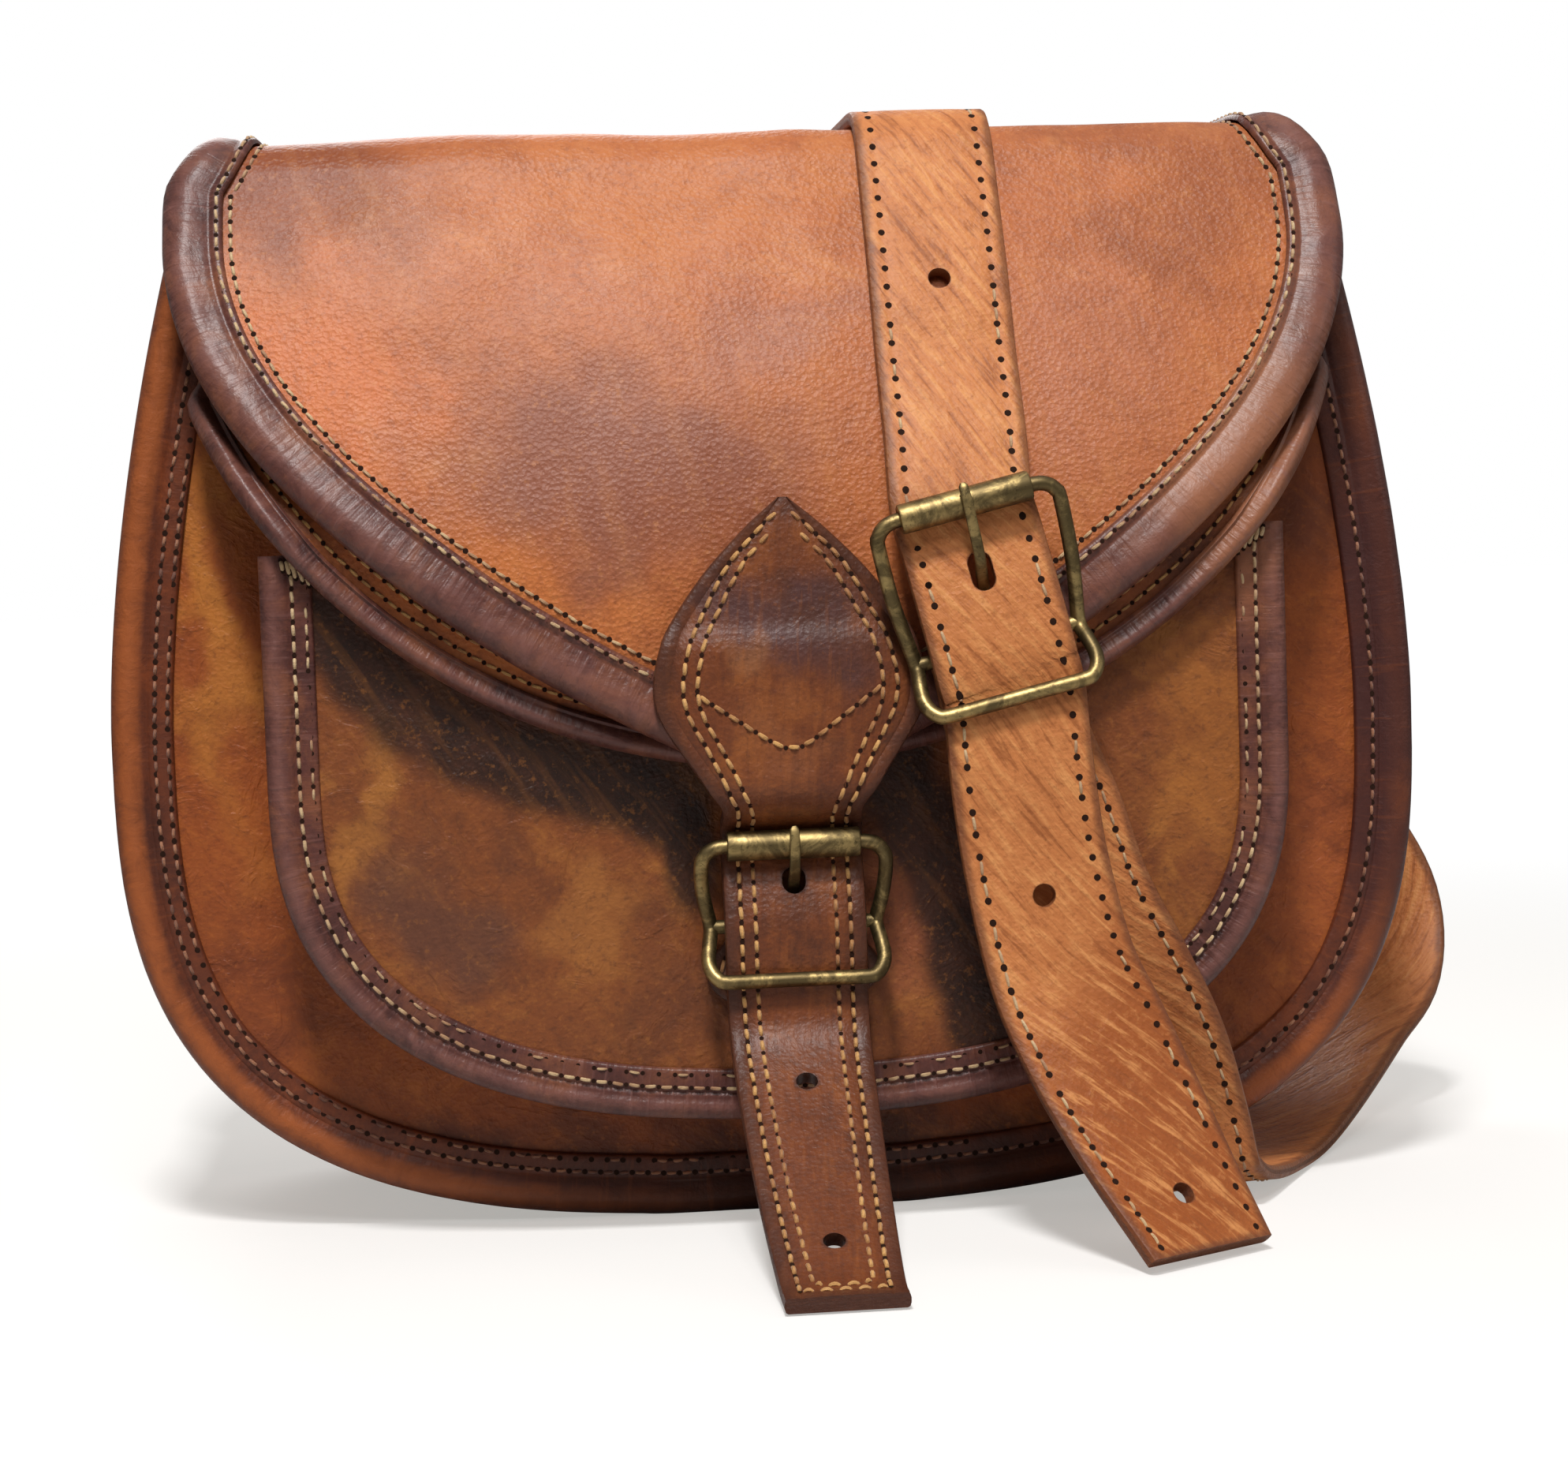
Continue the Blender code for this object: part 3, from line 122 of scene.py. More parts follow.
class Shade:
    """A socket whose arithmetic adds Math nodes."""

    def __init__(self, canvas: "Canvas", socket: bpy.types.NodeSocket) -> None:
        """Wrap one output socket."""
        self.canvas = canvas
        self.socket = socket

    def combine(self, operation: str, *values: Any) -> "Shade":
        """Math node of this operation on the values."""
        sockets = dict(enumerate(values))
        return self.canvas.node("Math", {"operation": operation}, sockets)

    def __add__(self, other: Any) -> "Shade":
        """Sum."""
        return self.combine("ADD", self, other)

    __radd__ = __add__

    def __sub__(self, other: Any) -> "Shade":
        """Difference."""
        return self.combine("SUBTRACT", self, other)

    def __rsub__(self, other: Any) -> "Shade":
        """Reflected difference."""
        return self.combine("SUBTRACT", other, self)

    def __mul__(self, other: Any) -> "Shade":
        """Product."""
        return self.combine("MULTIPLY", self, other)

    __rmul__ = __mul__

    def between(self, low: float, high: float) -> "Shade":
        """Share from 0 at low to 1 at high, eased at both ends."""
        sockets = {"Value": self, "From Min": low, "From Max": high}
        return self.canvas.node("MapRange", {"interpolation_type": "SMOOTHSTEP"}, sockets)


class Canvas:
    """A node tree under a principled shader, a world or a floor."""

    def __init__(self, tree: bpy.types.NodeTree) -> None:
        """Take an existing tree."""
        self.tree = tree

    def node(self, kind: str, settings: dict[str, Any], sockets: dict[Any, Any], output: int = 0) -> Shade:
        """Add a node.

        Args:
            kind: Blender's name of the node type, without its prefix.
            settings: properties, set first.
            sockets: values or links by socket name or number.
            output: number of the output that is returned.

        Returns:
            The chosen output.
        """
        made = self.tree.nodes.new("ShaderNode" + kind)
        for name, value in settings.items():
            setattr(made, name, value)
        for key, value in sockets.items():
            self.plug(made.inputs[key], value)
        return Shade(self, made.outputs[output])

    def plug(self, socket: bpy.types.NodeSocket, value: Any) -> None:
        """Link or set one input socket."""
        if isinstance(value, Shade):
            self.tree.links.new(value.socket, socket)
        elif isinstance(value, (tuple, Vector)) and socket.type == "RGBA" and len(value) == 3:
            socket.default_value = (*value, 1.0)
        else:
            socket.default_value = value

    def feed(self, looks: dict[str, Any], shader: str = "Principled BSDF") -> None:
        """Plug values into the sockets of the tree's shader."""
        for key, value in looks.items():
            self.plug(self.tree.nodes[shader].inputs[key], value)

    def mix(self, share: Any, low: Any, high: Any) -> Shade:
        """Colour between two colours."""
        return self.node("Mix", {"data_type": "RGBA"}, {0: share, 6: low, 7: high}, output=2)

    def vector(self, operation: str, first: Any, second: Any = (0, 0, 0), output: int = 0) -> Shade:
        """Arithmetic on vectors; the length comes out of output 1."""
        return self.node("VectorMath", {"operation": operation}, {0: first, 1: second}, output)

    def object_place(self) -> Shade:
        """Position in the piece's own space."""
        return self.node("TexCoord", {}, {}, output=3)

    def sheet_place(self) -> Shade:
        """Position in the leather before it was bent: across, along."""
        return self.node("TexCoord", {}, {}, output=2)

    def moved(self, place: Shade, turn: float = 0.0, stretch: Sequence[float] = (1, 1, 1),
              shift: Sequence[float] = (0, 0, 0)) -> Shade:
        """Place turned about its third axis, then drawn out by a factor for each axis, and shifted."""
        sockets = {"Vector": place, "Rotation": (0, 0, radians(turn)), "Scale": tuple(stretch),
                   "Location": tuple(shift)}
        return self.node("Mapping", {"vector_type": "TEXTURE"}, sockets)

    def cloud(self, place: Shade, size: float, detail: float = 3.0, rough: float = 0.55,
              bend: float = 0.0) -> Shade:
        """Noise whose lumps are about size millimetres across.

        Args:
            place: the coordinates.
            size: size of a lump.
            detail: octaves of finer noise.
            rough: strength of each finer octave.
            bend: how far the lumps are bent.

        Returns:
            Brightness from 0 to 1.
        """
        sockets = {"Vector": place, "Scale": 1 / (size * MM), "Detail": detail, "Roughness": rough,
                   "Distortion": bend}
        return self.node("TexNoise", {}, sockets)

    def cells(self, place: Shade, size: float) -> Shade:
        """Distance to the middle of cells of a size in millimetres."""
        return self.node("TexVoronoi", {}, {"Vector": place, "Scale": 1 / (size * MM)})

    def attribute(self, name: str) -> Shade:
        """Number stored on the mesh."""
        return self.node("Attribute", {"attribute_name": name}, {}, output=2)

    def bump(self, height: Shade, strength: float, distance: float, under: Optional[Shade] = None) -> Shade:
        """Normal of a relief whose full height is distance millimetres."""
        sockets = {"Height": height, "Strength": strength, "Distance": distance * MM}
        if under is not None:
            sockets["Normal"] = under
        return self.node("Bump", {}, sockets)


@dataclass(frozen=True)
class Finish:
    """Principled material with a name."""

    name: str

    def build(self) -> bpy.types.Material:
        """Make the material."""
        material = bpy.data.materials.new(self.name)
        material.use_nodes = True
        self.paint(Canvas(material.node_tree))
        return material

    def paint(self, canvas: Canvas) -> None:
        """Draw its nodes."""
        raise NotImplementedError


@dataclass(frozen=True)
class StainOrPaintedLight:
    """Patch of colour, soft and ragged or else crisp, by its middle and size: a tone of the leather, painted
    shade or painted highlight.
    """

    middle: Spot
    size: Spot
    colour: Colour
    share: float = 0.8
    crisp: bool = False


def shaded(route: Sequence[tuple[float, float, float, float]]) -> tuple[StainOrPaintedLight, ...]:
    """Row of crisp near-black patches on the pocket, each with its x, z and half sizes: painted shade below
    the pocket flap and beside the long strap.
    """
    return tuple(StainOrPaintedLight((x, -61, z), (across, 20, up), (0.022, 0.009, 0.006), 0.92, True)
                 for x, z, across, up in route)


@dataclass(frozen=True)
class Leather(Finish):
    """Burnished leather: three tones in clouds, a pebbled grain, creases, drawn lines, and darkened edges."""

    light: Colour
    middle: Colour
    dark: Colour
    cloud_size: float = 42.0
    light_share: float = 0.45
    dark_share: float = 0.42
    grain: float = 0.95
    grain_depth: float = 0.13
    crease_depth: float = 0.04
    streaks: float = 0.0
    streak_size: float = 1.5
    streak_turn: float = 18.0
    pleats: float = 0.0
    roughness: float = 0.46
    coat: float = 0.08
    edge_colour: Colour = (0.05, 0.017, 0.01)
    edge_width: float = 6.0
    edge_share: float = 0.7
    crest: Colour = (0.3, 0.2, 0.17)
    crest_share: float = 0.0
    shift: float = 0.0
    stains_and_painted_light: tuple[StainOrPaintedLight, ...] = ()

    def paint(self, canvas: Canvas) -> None:
        """Draw the nodes of its colour, its roughness and its relief.

        Args:
            canvas: the material's node tree.
        """
        place = canvas.moved(canvas.object_place(), shift=(self.shift, self.shift * 0.7, -self.shift))
        broad = canvas.cloud(place, self.cloud_size, detail=5, rough=0.62, bend=0.6)
        smudge = canvas.cloud(place, self.cloud_size * 0.36, detail=5, rough=0.68, bend=1.2)
        fleck = canvas.cloud(place, 1.5, detail=3, rough=0.7)
        tone = broad * 0.62 + smudge * 0.38
        dark = (1 - tone).between(1 - self.dark_share - 0.1, 1 - self.dark_share + 0.12)
        patch = canvas.cloud(place, self.cloud_size * 0.55, detail=6, rough=0.66, bend=0.9)
        light = (broad * 0.3 + patch * 0.7).between(0.94 - self.light_share, 1.16 - self.light_share)
        colour = canvas.mix(light, self.middle, self.light)
        # Patches: tones of the leather, and painted shade and painted highlight where they are listed.
        if not self.crest_share:
            colour = self._with_stains_and_painted_light(canvas, colour)
        if self.streaks:
            drawn = self._drawn(canvas)
            colour = canvas.mix(drawn.between(0.5, 0.66) * self.streaks, colour, self.light)
            colour = canvas.mix((1 - drawn).between(0.52, 0.68) * self.streaks, colour, self.dark)
        colour = canvas.mix(dark * 0.8, colour, self.dark)
        colour = canvas.mix(fleck.between(0.54, 0.72) * 0.3, colour, self.light)
        colour = canvas.mix((1 - fleck).between(0.52, 0.7) * 0.38, colour, self.dark)
        ragged = canvas.attribute("edge") + (smudge - 0.5) * self.edge_width * 1.3
        rim = (1 - ragged.between(0.0, self.edge_width)) * self.edge_share
        colour = canvas.mix(rim, colour, self.edge_colour)
        # Crests of rolls lighter in the crest colour: rubbed wear with painted sheen.
        if self.crest_share:
            rubbed_and_sheen = canvas.attribute("crest") * (0.45 + smudge) * self.crest_share
            colour = self._with_stains_and_painted_light(canvas, canvas.mix(rubbed_and_sheen.between(0.25, 0.95), colour, self.crest))
        # Pleat ridges lighter in the crest colour: painted highlight.
        if self.pleats:
            colour = canvas.mix(self._pleated(canvas).between(0.58, 0.7) * self.pleats, colour, self.crest)
        canvas.feed({"Base Color": colour, "Normal": self._relief(canvas, place, smudge),
                     "Roughness": self.roughness + (smudge - 0.5) * 0.22 - (broad - 0.5) * 0.12,
                     "Coat Weight": self.coat, "Coat Roughness": 0.35, "Specular IOR Level": 0.25})

    def _drawn(self, canvas: Canvas) -> Shade:
        """Fine lines that the hide was drawn out in."""
        sheet = canvas.moved(canvas.sheet_place(), turn=self.streak_turn, stretch=(1, 9, 1))
        return canvas.cloud(sheet, self.streak_size, detail=4, rough=0.6, bend=0.35)

    def _pleated(self, canvas: Canvas) -> Shade:
        """Little pleats across a rolled strip."""
        return canvas.cloud(canvas.moved(canvas.sheet_place(), stretch=(9, 1, 1)), 1.3, detail=2, bend=0.3)

    def _with_stains_and_painted_light(self, canvas: Canvas, colour: Shade) -> Shade:
        """Colour with its patches on it, soft and ragged or crisp: tones of the leather, painted shade and
        painted highlight.
        """
        if not self.stains_and_painted_light:
            return colour
        place = canvas.object_place()
        wander = canvas.node("TexNoise", {}, {"Vector": place, "Scale": 55.0, "Detail": 4.0}, output=1)
        wander = canvas.vector("SUBTRACT", wander, (0.5, 0.5, 0.5))
        strayed = canvas.vector("ADD", place, canvas.vector("MULTIPLY", wander, (0.045, 0.045, 0.045)))
        for stain_or_light in self.stains_and_painted_light:
            start = place if stain_or_light.crisp else strayed
            middle = tuple(v * MM for v in stain_or_light.middle)
            size = tuple(v * MM for v in stain_or_light.size)
            scaled = canvas.vector("DIVIDE", canvas.vector("SUBTRACT", start, middle), size)
            away = canvas.vector("LENGTH", scaled, output=1)
            core = 0.55 if stain_or_light.crisp else 0.25
            colour = canvas.mix((1 - away.between(core, 1.05)) * stain_or_light.share, colour, stain_or_light.colour)
        return colour

    def _relief(self, canvas: Canvas, place: Shade, smudge: Shade) -> Shade:
        """Normal from pebbles, pores and creases."""
        pebbles = canvas.cells(canvas.moved(place, stretch=(1, 1, 0.85)), self.grain)
        finer = canvas.cloud(place, self.grain * 0.45, detail=2)
        wrinkle = canvas.cloud(place, 9.0, detail=4, rough=0.6, bend=1.2)
        crease = (wrinkle - 0.5) * (wrinkle - 0.5) * 22
        low = canvas.bump(smudge, 0.5, 0.5)
        creased = canvas.bump(crease.between(0.0, 0.5), 0.8, self.crease_depth, low)
        if self.streaks:
            creased = canvas.bump(self._drawn(canvas), 0.9, 0.5 * self.streaks, creased)
        if self.pleats:
            creased = canvas.bump(self._pleated(canvas), 0.9, 0.8 * self.pleats, creased)
        return canvas.bump(pebbles * 0.8 + finer * 0.5, 0.9, self.grain_depth, creased)


@dataclass(frozen=True)
class Brass(Finish):
    """Antique brass: dark olive patina, rubbed bright in places, with fine scratches, dark specks, and painted
    shade where it faces away from the front.
    """

    bright: Colour = (0.42, 0.3, 0.12)
    patina: Colour = (0.14, 0.1, 0.043)
    # Dark specks, and painted shade on the sides that face away from the front.
    speck_and_shade: Colour = (0.05, 0.035, 0.018)

    def paint(self, canvas: Canvas) -> None:
        """Draw its nodes."""
        place = canvas.object_place()
        cloud = canvas.cloud(place, 7.0, detail=6, rough=0.7, bend=0.8)
        speck = canvas.cloud(place, 0.8, detail=3, rough=0.7)
        colour = canvas.mix(cloud.between(0.42, 0.62), self.patina, self.bright)
        colour = canvas.mix(speck.between(0.56, 0.7) * 0.6, colour, self.speck_and_shade)
        # Painted shade: darker where the metal faces away from the front.
        colour = canvas.mix((1 - canvas.attribute("crest")) * 0.5, colour, self.speck_and_shade)
        scratch = canvas.cloud(canvas.moved(place, turn=20, stretch=(4, 1, 1)), 0.5, detail=3)
        canvas.feed({"Base Color": colour, "Roughness": 0.3 + (1 - cloud) * 0.22 + speck * 0.08,
                     "Normal": canvas.bump(scratch + cloud, 0.35, 0.06), "Metallic": 0.92})


@dataclass(frozen=True)
class Thread(Finish):
    """Waxed, twisted sewing thread."""

    pale: Colour
    deep: Colour

    def paint(self, canvas: Canvas) -> None:
        """Draw its nodes."""
        place = canvas.object_place()
        grime = canvas.cloud(place, 14.0, detail=4, rough=0.7)
        twist = canvas.cloud(canvas.moved(place, turn=40, stretch=(1, 2.5, 1)), 0.32, detail=1)
        colour = canvas.mix(grime.between(0.4, 0.62), self.pale, self.deep)
        colour = canvas.mix(twist.between(0.5, 0.75) * 0.5, colour, self.deep)
        canvas.feed({"Base Color": colour, "Roughness": 0.6 + twist * 0.15,
                     "Normal": canvas.bump(twist, 0.8, 0.12), "Sheen Weight": 0.25, "Sheen Roughness": 0.5})


@dataclass(frozen=True)
class Pierced(Finish):
    """Painted shade of a needle hole: a near-black disc where the hole is."""

    name: str = "needle_holes"

    def paint(self, canvas: Canvas) -> None:
        """Draw its nodes."""
        painted_hole_shade = canvas.cloud(canvas.object_place(), 0.6, detail=2)
        colour = canvas.mix(painted_hole_shade, (0.012, 0.006, 0.004), (0.035, 0.014, 0.008))
        canvas.feed({"Base Color": colour, "Roughness": 0.85 + painted_hole_shade * 0.1, "Specular IOR Level": 0.1})


class FloorPaint(Finish):
    """Pale floor that fades to white further off."""

    def paint(self, canvas: Canvas) -> None:
        """Draw its nodes."""
        far = canvas.vector("LENGTH", canvas.object_place(), output=1).between(0.24, 0.7)
        paint = canvas.mix(far, (0.6, 0.59, 0.58), (0.0, 0.0, 0.0))
        seen = canvas.node("LightPath", {}, {}, output=0)
        glow = canvas.mix(seen, (0.0, 0.0, 0.0), canvas.mix(far, (0.42, 0.41, 0.39), (1.0, 1.0, 1.0)))
        canvas.feed({"Base Color": paint, "Emission Color": glow, "Emission Strength": 1.0, "Roughness": 0.7,
                     "Specular IOR Level": 0.1})


@dataclass(frozen=True)
class Cotton(Finish):
    """Plain woven lining cloth."""

    name: str = "lining_cotton"
    warp: Colour = (0.3, 0.23, 0.14)
    weft: Colour = (0.2, 0.15, 0.09)

    def paint(self, canvas: Canvas) -> None:
        """Draw its nodes."""
        sheet = canvas.sheet_place()
        sockets = {"Vector": sheet, "Scale": 520.0, "Distortion": 0.5}
        across, along = (canvas.node("TexWave", {"bands_direction": way}, sockets) for way in "XY")
        slub = canvas.cloud(canvas.object_place(), 11.0, detail=5, rough=0.7)
        weave = across * along
        colour = canvas.mix(weave, self.weft, self.warp)
        colour = canvas.mix(slub.between(0.45, 0.7) * 0.45, colour, self.weft)
        canvas.feed({"Base Color": colour, "Roughness": 0.82 + slub * 0.12, "Sheen Weight": 0.2,
                     "Normal": canvas.bump(weave + slub * 0.4, 0.6, 0.2), "Specular IOR Level": 0.2})


# Meshes


def held(value: float, low: float = 0.0, high: float = 1.0) -> float:
    """Value kept between two limits."""
    return min(max(value, low), high)


def circle(count: int, start: float = 0.0) -> list[Place]:
    """Cosine and sine at even steps round a circle, from a share of a step on."""
    turns = [2 * pi * (k + start) / count for k in range(count)]
    return [(cos(turn), sin(turn)) for turn in turns]


def smooth_path(points: Line, steps: int, closed: bool = False) -> list[Vector]:
    """Catmull-Rom curve.

    Args:
        points: what it goes through, of any dimension.
        steps: number of steps between two points.
        closed: whether the last point joins the first.

    Returns:
        The points of the curve.
    """
    if closed:
        padded = [points[-1], *points, points[0], points[1]]
    else:
        padded = [2 * points[0] - points[1], *points, 2 * points[-1] - points[-2]]
    path = []
    for i in range(1, len(padded) - 2):
        a, b, c, d = padded[i - 1 : i + 3]
        for k in range(steps):
            t = k / steps
            cubic = (3 * b - a - 3 * c + d) * t**3
            path.append(0.5 * (2 * b + (c - a) * t + (2 * a - 5 * b + 4 * c - d) * t**2 + cubic))
    return path if closed else path + [points[-1].copy()]


def tangents(points: Line, closed: bool = False) -> list[Vector]:
    """Unit direction of travel at each point."""
    found = []
    last = len(points) - 1
    for i in range(last + 1):
        before = points[i - 1] if closed or i else points[0]
        after = points[(i + 1) % (last + 1)] if closed or i < last else points[last]
        found.append((after - before).normalized())
    return found


def outwards(points: Line) -> list[Vector]:
    """Way out of a sheet that hangs along a line in the plane of y and z."""
    return [Vector((0, way.z, -way.y)) for way in tangents(points)]


def lengths(line: Line) -> list[float]:
    """Distance along a line of each of its points."""
    places = [0.0]
    for a, b in zip(line, line[1:]):
        places.append(places[-1] + (b - a).length)
    return places


def resampled(line: Line, pitch: float) -> list[Vector]:
    """Points along a line, evenly spaced at about a pitch, from its start to its end."""
    spans = [(b - a).length for a, b in zip(line, line[1:])]
    count = max(1, round(sum(spans) / pitch))
    step = sum(spans) / count
    found = [line[0].copy()]
    walked = 0.0
    for (a, b), span in zip(zip(line, line[1:]), spans):
        while len(found) < count and walked + span >= len(found) * step and span > 0:
            found.append(a + (b - a) * ((len(found) * step - walked) / span))
        walked += span
    found.append(line[-1].copy())
    return found


def moved_in(line: Line, distance: float) -> list[Vector]:
    """Outline that runs down, round and up again, moved inwards on the leather."""
    return [point - Vector((-way.y, way.x)) * distance for point, way in zip(line, tangents(line))]


class Ribbon:
    """Leather laid along a curve: a place on it is (across, along) with a height over its middle."""

    def __init__(self, points: Line, facings: Line, settle: Optional[Relief] = None) -> None:
        """Lay it out.

        Args:
            points: the middle line.
            facings: which way the leather's face looks at each point.
            settle: height that the leather itself gains at (across, along).
        """
        self.points = list(points)
        self.sides = []
        self.lifts = []
        for way, facing in zip(tangents(self.points), facings):
            side = facing.cross(way).normalized()
            self.sides.append(side)
            self.lifts.append(way.cross(side).normalized())
        self.places = lengths(self.points)
        self.settle = settle

    @property
    def length(self) -> float:
        """Length of the middle line."""
        return self.places[-1]

    def locate(self, along: float) -> tuple[int, float]:
        """Number of the span that holds a place, and the share of it that lies before."""
        last = len(self.points) - 2
        i = held(bisect_right(self.places, along) - 1, 0, last)
        return i, (along - self.places[i]) / max(self.places[i + 1] - self.places[i], 1e-9)

    def reading(self, values: Sequence[Any], along: float) -> Any:
        """Value at a place, from the values at the points of the line."""
        i, share = self.locate(along)
        return values[i] + (values[i + 1] - values[i]) * share

    def turned(self, ways: Line, along: float) -> Vector:
        """Direction at a place, from the directions at the points of the line."""
        i, share = self.locate(along)
        return ways[i].lerp(ways[i + 1], held(share)).normalized()

    def at(self, across: float, along: float, height: float = 0.0) -> Vector:
        """Point at a place and height."""
        if self.settle:
            height += self.settle(across, along)
        side, lift = self.turned(self.sides, along), self.turned(self.lifts, along)
        return self.reading(self.points, along) + side * across + lift * height

    def nearest(self, target: Vector) -> float:
        """Place along the middle line that is nearest to a point."""
        best = min(range(len(self.points)), key=lambda i: (self.points[i] - target).length)
        return self.places[best] + (target - self.points[best]).dot(tangents(self.points)[best])


def upright(y: float, top_z: float, bottom_z: float, side: Side = Side.FRONT, x: float = 0.0) -> Ribbon:
    """Flat, upright sheet whose along is measured down from its top."""
    steps = 24
    points = [Vector((x, y, top_z + (bottom_z - top_z) * k / steps)) for k in range(steps + 1)]
    return Ribbon(points, [Vector((0, side.value, 0))] * len(points))


class Shell:
    """Points and faces of one mesh, with where each point lies on its leather."""

    materials: ClassVar[dict[str, bpy.types.Material]] = {}

    def __init__(self) -> None:
        """Start empty."""
        self.points: list[Vector] = []
        self.sheets: list[Place] = []
        self.edges: list[float] = []
        self.crests: list[float] = []
        self.faces: list[Sequence[int]] = []
        self.slots: list[int] = []

    def point(self, place: Vector, sheet: Place = (0, 0), edge: float = 20.0, crest: float = 0.0) -> int:
        """Add a point.

        Args:
            place: where it is.
            sheet: where it is on the flat leather.
            edge: distance to the leather's cut edge.
            crest: share of rubbing and painted sheen that it gets; on brass, how far it faces the front, out
                of painted shade.

        Returns:
            Its number.
        """
        self.points.append(place)
        self.sheets.append(sheet)
        self.edges.append(edge)
        self.crests.append(crest)
        return len(self.points) - 1

    def face(self, corners: Sequence[int], slot: Slot = Slot.LEATHER) -> None:
        """Add a face."""
        self.faces.append(corners)
        self.slots.append(slot.value)

    def loft(self, rings: Sequence[Sequence[int]], slot: Slot = Slot.LEATHER, closed: bool = False) -> None:
        """Join matching rings into a tube, with caps where it isn't closed on itself."""
        following = [*rings[1:], rings[0]] if closed else rings[1:]
        count = len(rings[0])
        for near, far in zip(rings, following):
            for i in range(count):
                j = (i + 1) % count
                self.face((near[i], near[j], far[j], far[i]), slot)
        if not closed:
            self.face(list(reversed(rings[0])), slot)
            self.face(rings[-1], slot)

    def plate(self, ribbon: Ribbon, rows: Rows, thickness: float, columns: int,
              relief: Optional[Relief] = None) -> None:
        """Add a sheet of leather.

        Args:
            ribbon: what it lies on.
            rows: (along, half width) from one end to the other.
            thickness: its thickness.
            columns: number of faces across.
            relief: height that it swells at (across, along).
        """
        shares = [2 * c / columns - 1 for c in range(columns + 1)]
        rim = [Vector((-half, along)) for along, half in rows]
        rim += [Vector((half, along)) for along, half in reversed(rows)]
        outline = np.array(resampled([*rim, rim[0]], 1.5))
        grids = []
        for sign in (1, -1):
            grid = []
            for along, half in rows:
                row = []
                for share in shares:
                    across = half * share
                    near = float(np.min(np.hypot(outline[:, 0] - across, outline[:, 1] - along)))
                    swell = relief(across, along) if relief else 0.0
                    place = ribbon.at(across, along, sign * thickness / 2 + swell)
                    sheet = (across, along + (0 if sign > 0 else 400))
                    row.append(self.point(place, sheet, max(near - 1.0, 0)))
                grid.append(row)
            grids.append(grid)
        outer, inner = grids
        for r in range(len(rows) - 1):
            for c in range(columns):
                for grid in grids:
                    self.face((grid[r][c], grid[r][c + 1], grid[r + 1][c + 1], grid[r + 1][c]))
            for c in (0, columns):
                self.face((outer[r][c], outer[r + 1][c], inner[r + 1][c], inner[r][c]))
        for r in (0, len(rows) - 1):
            for c in range(columns):
                self.face((outer[r][c], outer[r][c + 1], inner[r][c + 1], inner[r][c]))

    def sweep(self, ribbon: Ribbon, line: Line, profile: Profile, lumps: float = 0.12) -> None:
        """Carry a profile of (outwards, height, crest) along a line on a ribbon.

        Args:
            ribbon: the leather.
            line: places on it, as (across, along).
            profile: the section.
            lumps: unevenness of its crest.
        """
        rings = []
        around = lengths([Vector((out, height)) for out, height, _ in profile])
        for here, way, walked in zip(line, tangents(line), lengths(line)):
            outward = Vector((-way.y, way.x))
            ring = []
            for (out, height, crest), turned in zip(profile, around):
                lump = noise.noise(Vector((walked * 0.12, out * 0.3, len(line) * 0.37))) * lumps * crest
                flat = here + outward * out
                place = ribbon.at(flat.x, flat.y, height + lump)
                ring.append(self.point(place, (turned, walked), crest=crest))
            rings.append(ring)
        self.loft(rings)

    def band(self, outline: Line, front_y: float, back_y: float, thickness: float, swell: float) -> None:
        """Add a strip that follows an outline, swelling softly between its edges.

        Args:
            outline: outline as (x, z).
            front_y: place of the front edge.
            back_y: place of the back edge.
            thickness: its thickness.
            swell: how far its middle stands out.
        """
        line = resampled(outline, 3.0)
        rings = []
        columns = 12
        for here, way, walked in zip(line, tangents(line), lengths(line)):
            outward = Vector((way.y, -way.x))
            rise = held((here.y - outline[len(outline) // 2].y) / 25.0)
            ring = []
            for layer, shares in ((0.0, range(columns + 1)), (-thickness, range(columns, -1, -1))):
                for share in (k / columns for k in shares):
                    y = front_y + (back_y - front_y) * share
                    fold = noise.noise(Vector((y * 0.05, walked * 0.035, 7.7)))
                    wave = noise.noise(Vector((y * 0.13, walked * 0.11, 1.7)))
                    soft = sin(pi * share) * (swell + fold * 1.6 + wave * 0.5) * rise
                    place = here + outward * (layer + soft)
                    edge = min(share, 1 - share) * (back_y - front_y)
                    ring.append(self.point(Vector((place.x, y, place.y)), (y + layer * 30, walked), edge))
            rings.append(ring)
        self.loft(rings)

    def tube(self, points: Line, radius: float, sides: int, reference: Vector, closed: bool = False) -> None:
        """Add a round wire.

        Args:
            points: the wire's middle line.
            radius: its radius.
            sides: number of faces round it.
            reference: direction that is never along the wire.
            closed: whether its ends meet.
        """
        rings = []
        for point, way in zip(points, tangents(points, closed)):
            side = way.cross(reference).normalized()
            other = side.cross(way).normalized()
            lifts = [side * cosine + other * sine for cosine, sine in circle(sides)]
            rings.append([self.point(point + lift * radius, crest=max(0.0, -lift.y)) for lift in lifts])
        self.loft(rings, closed=closed)

    def leather(self, name: str, leather: str, thread: str = "ochre_thread") -> Piece:
        """Object of a leather with its thread and its needle holes, in the order of Slot."""
        return self.build(name, (leather, thread, "needle_holes"))

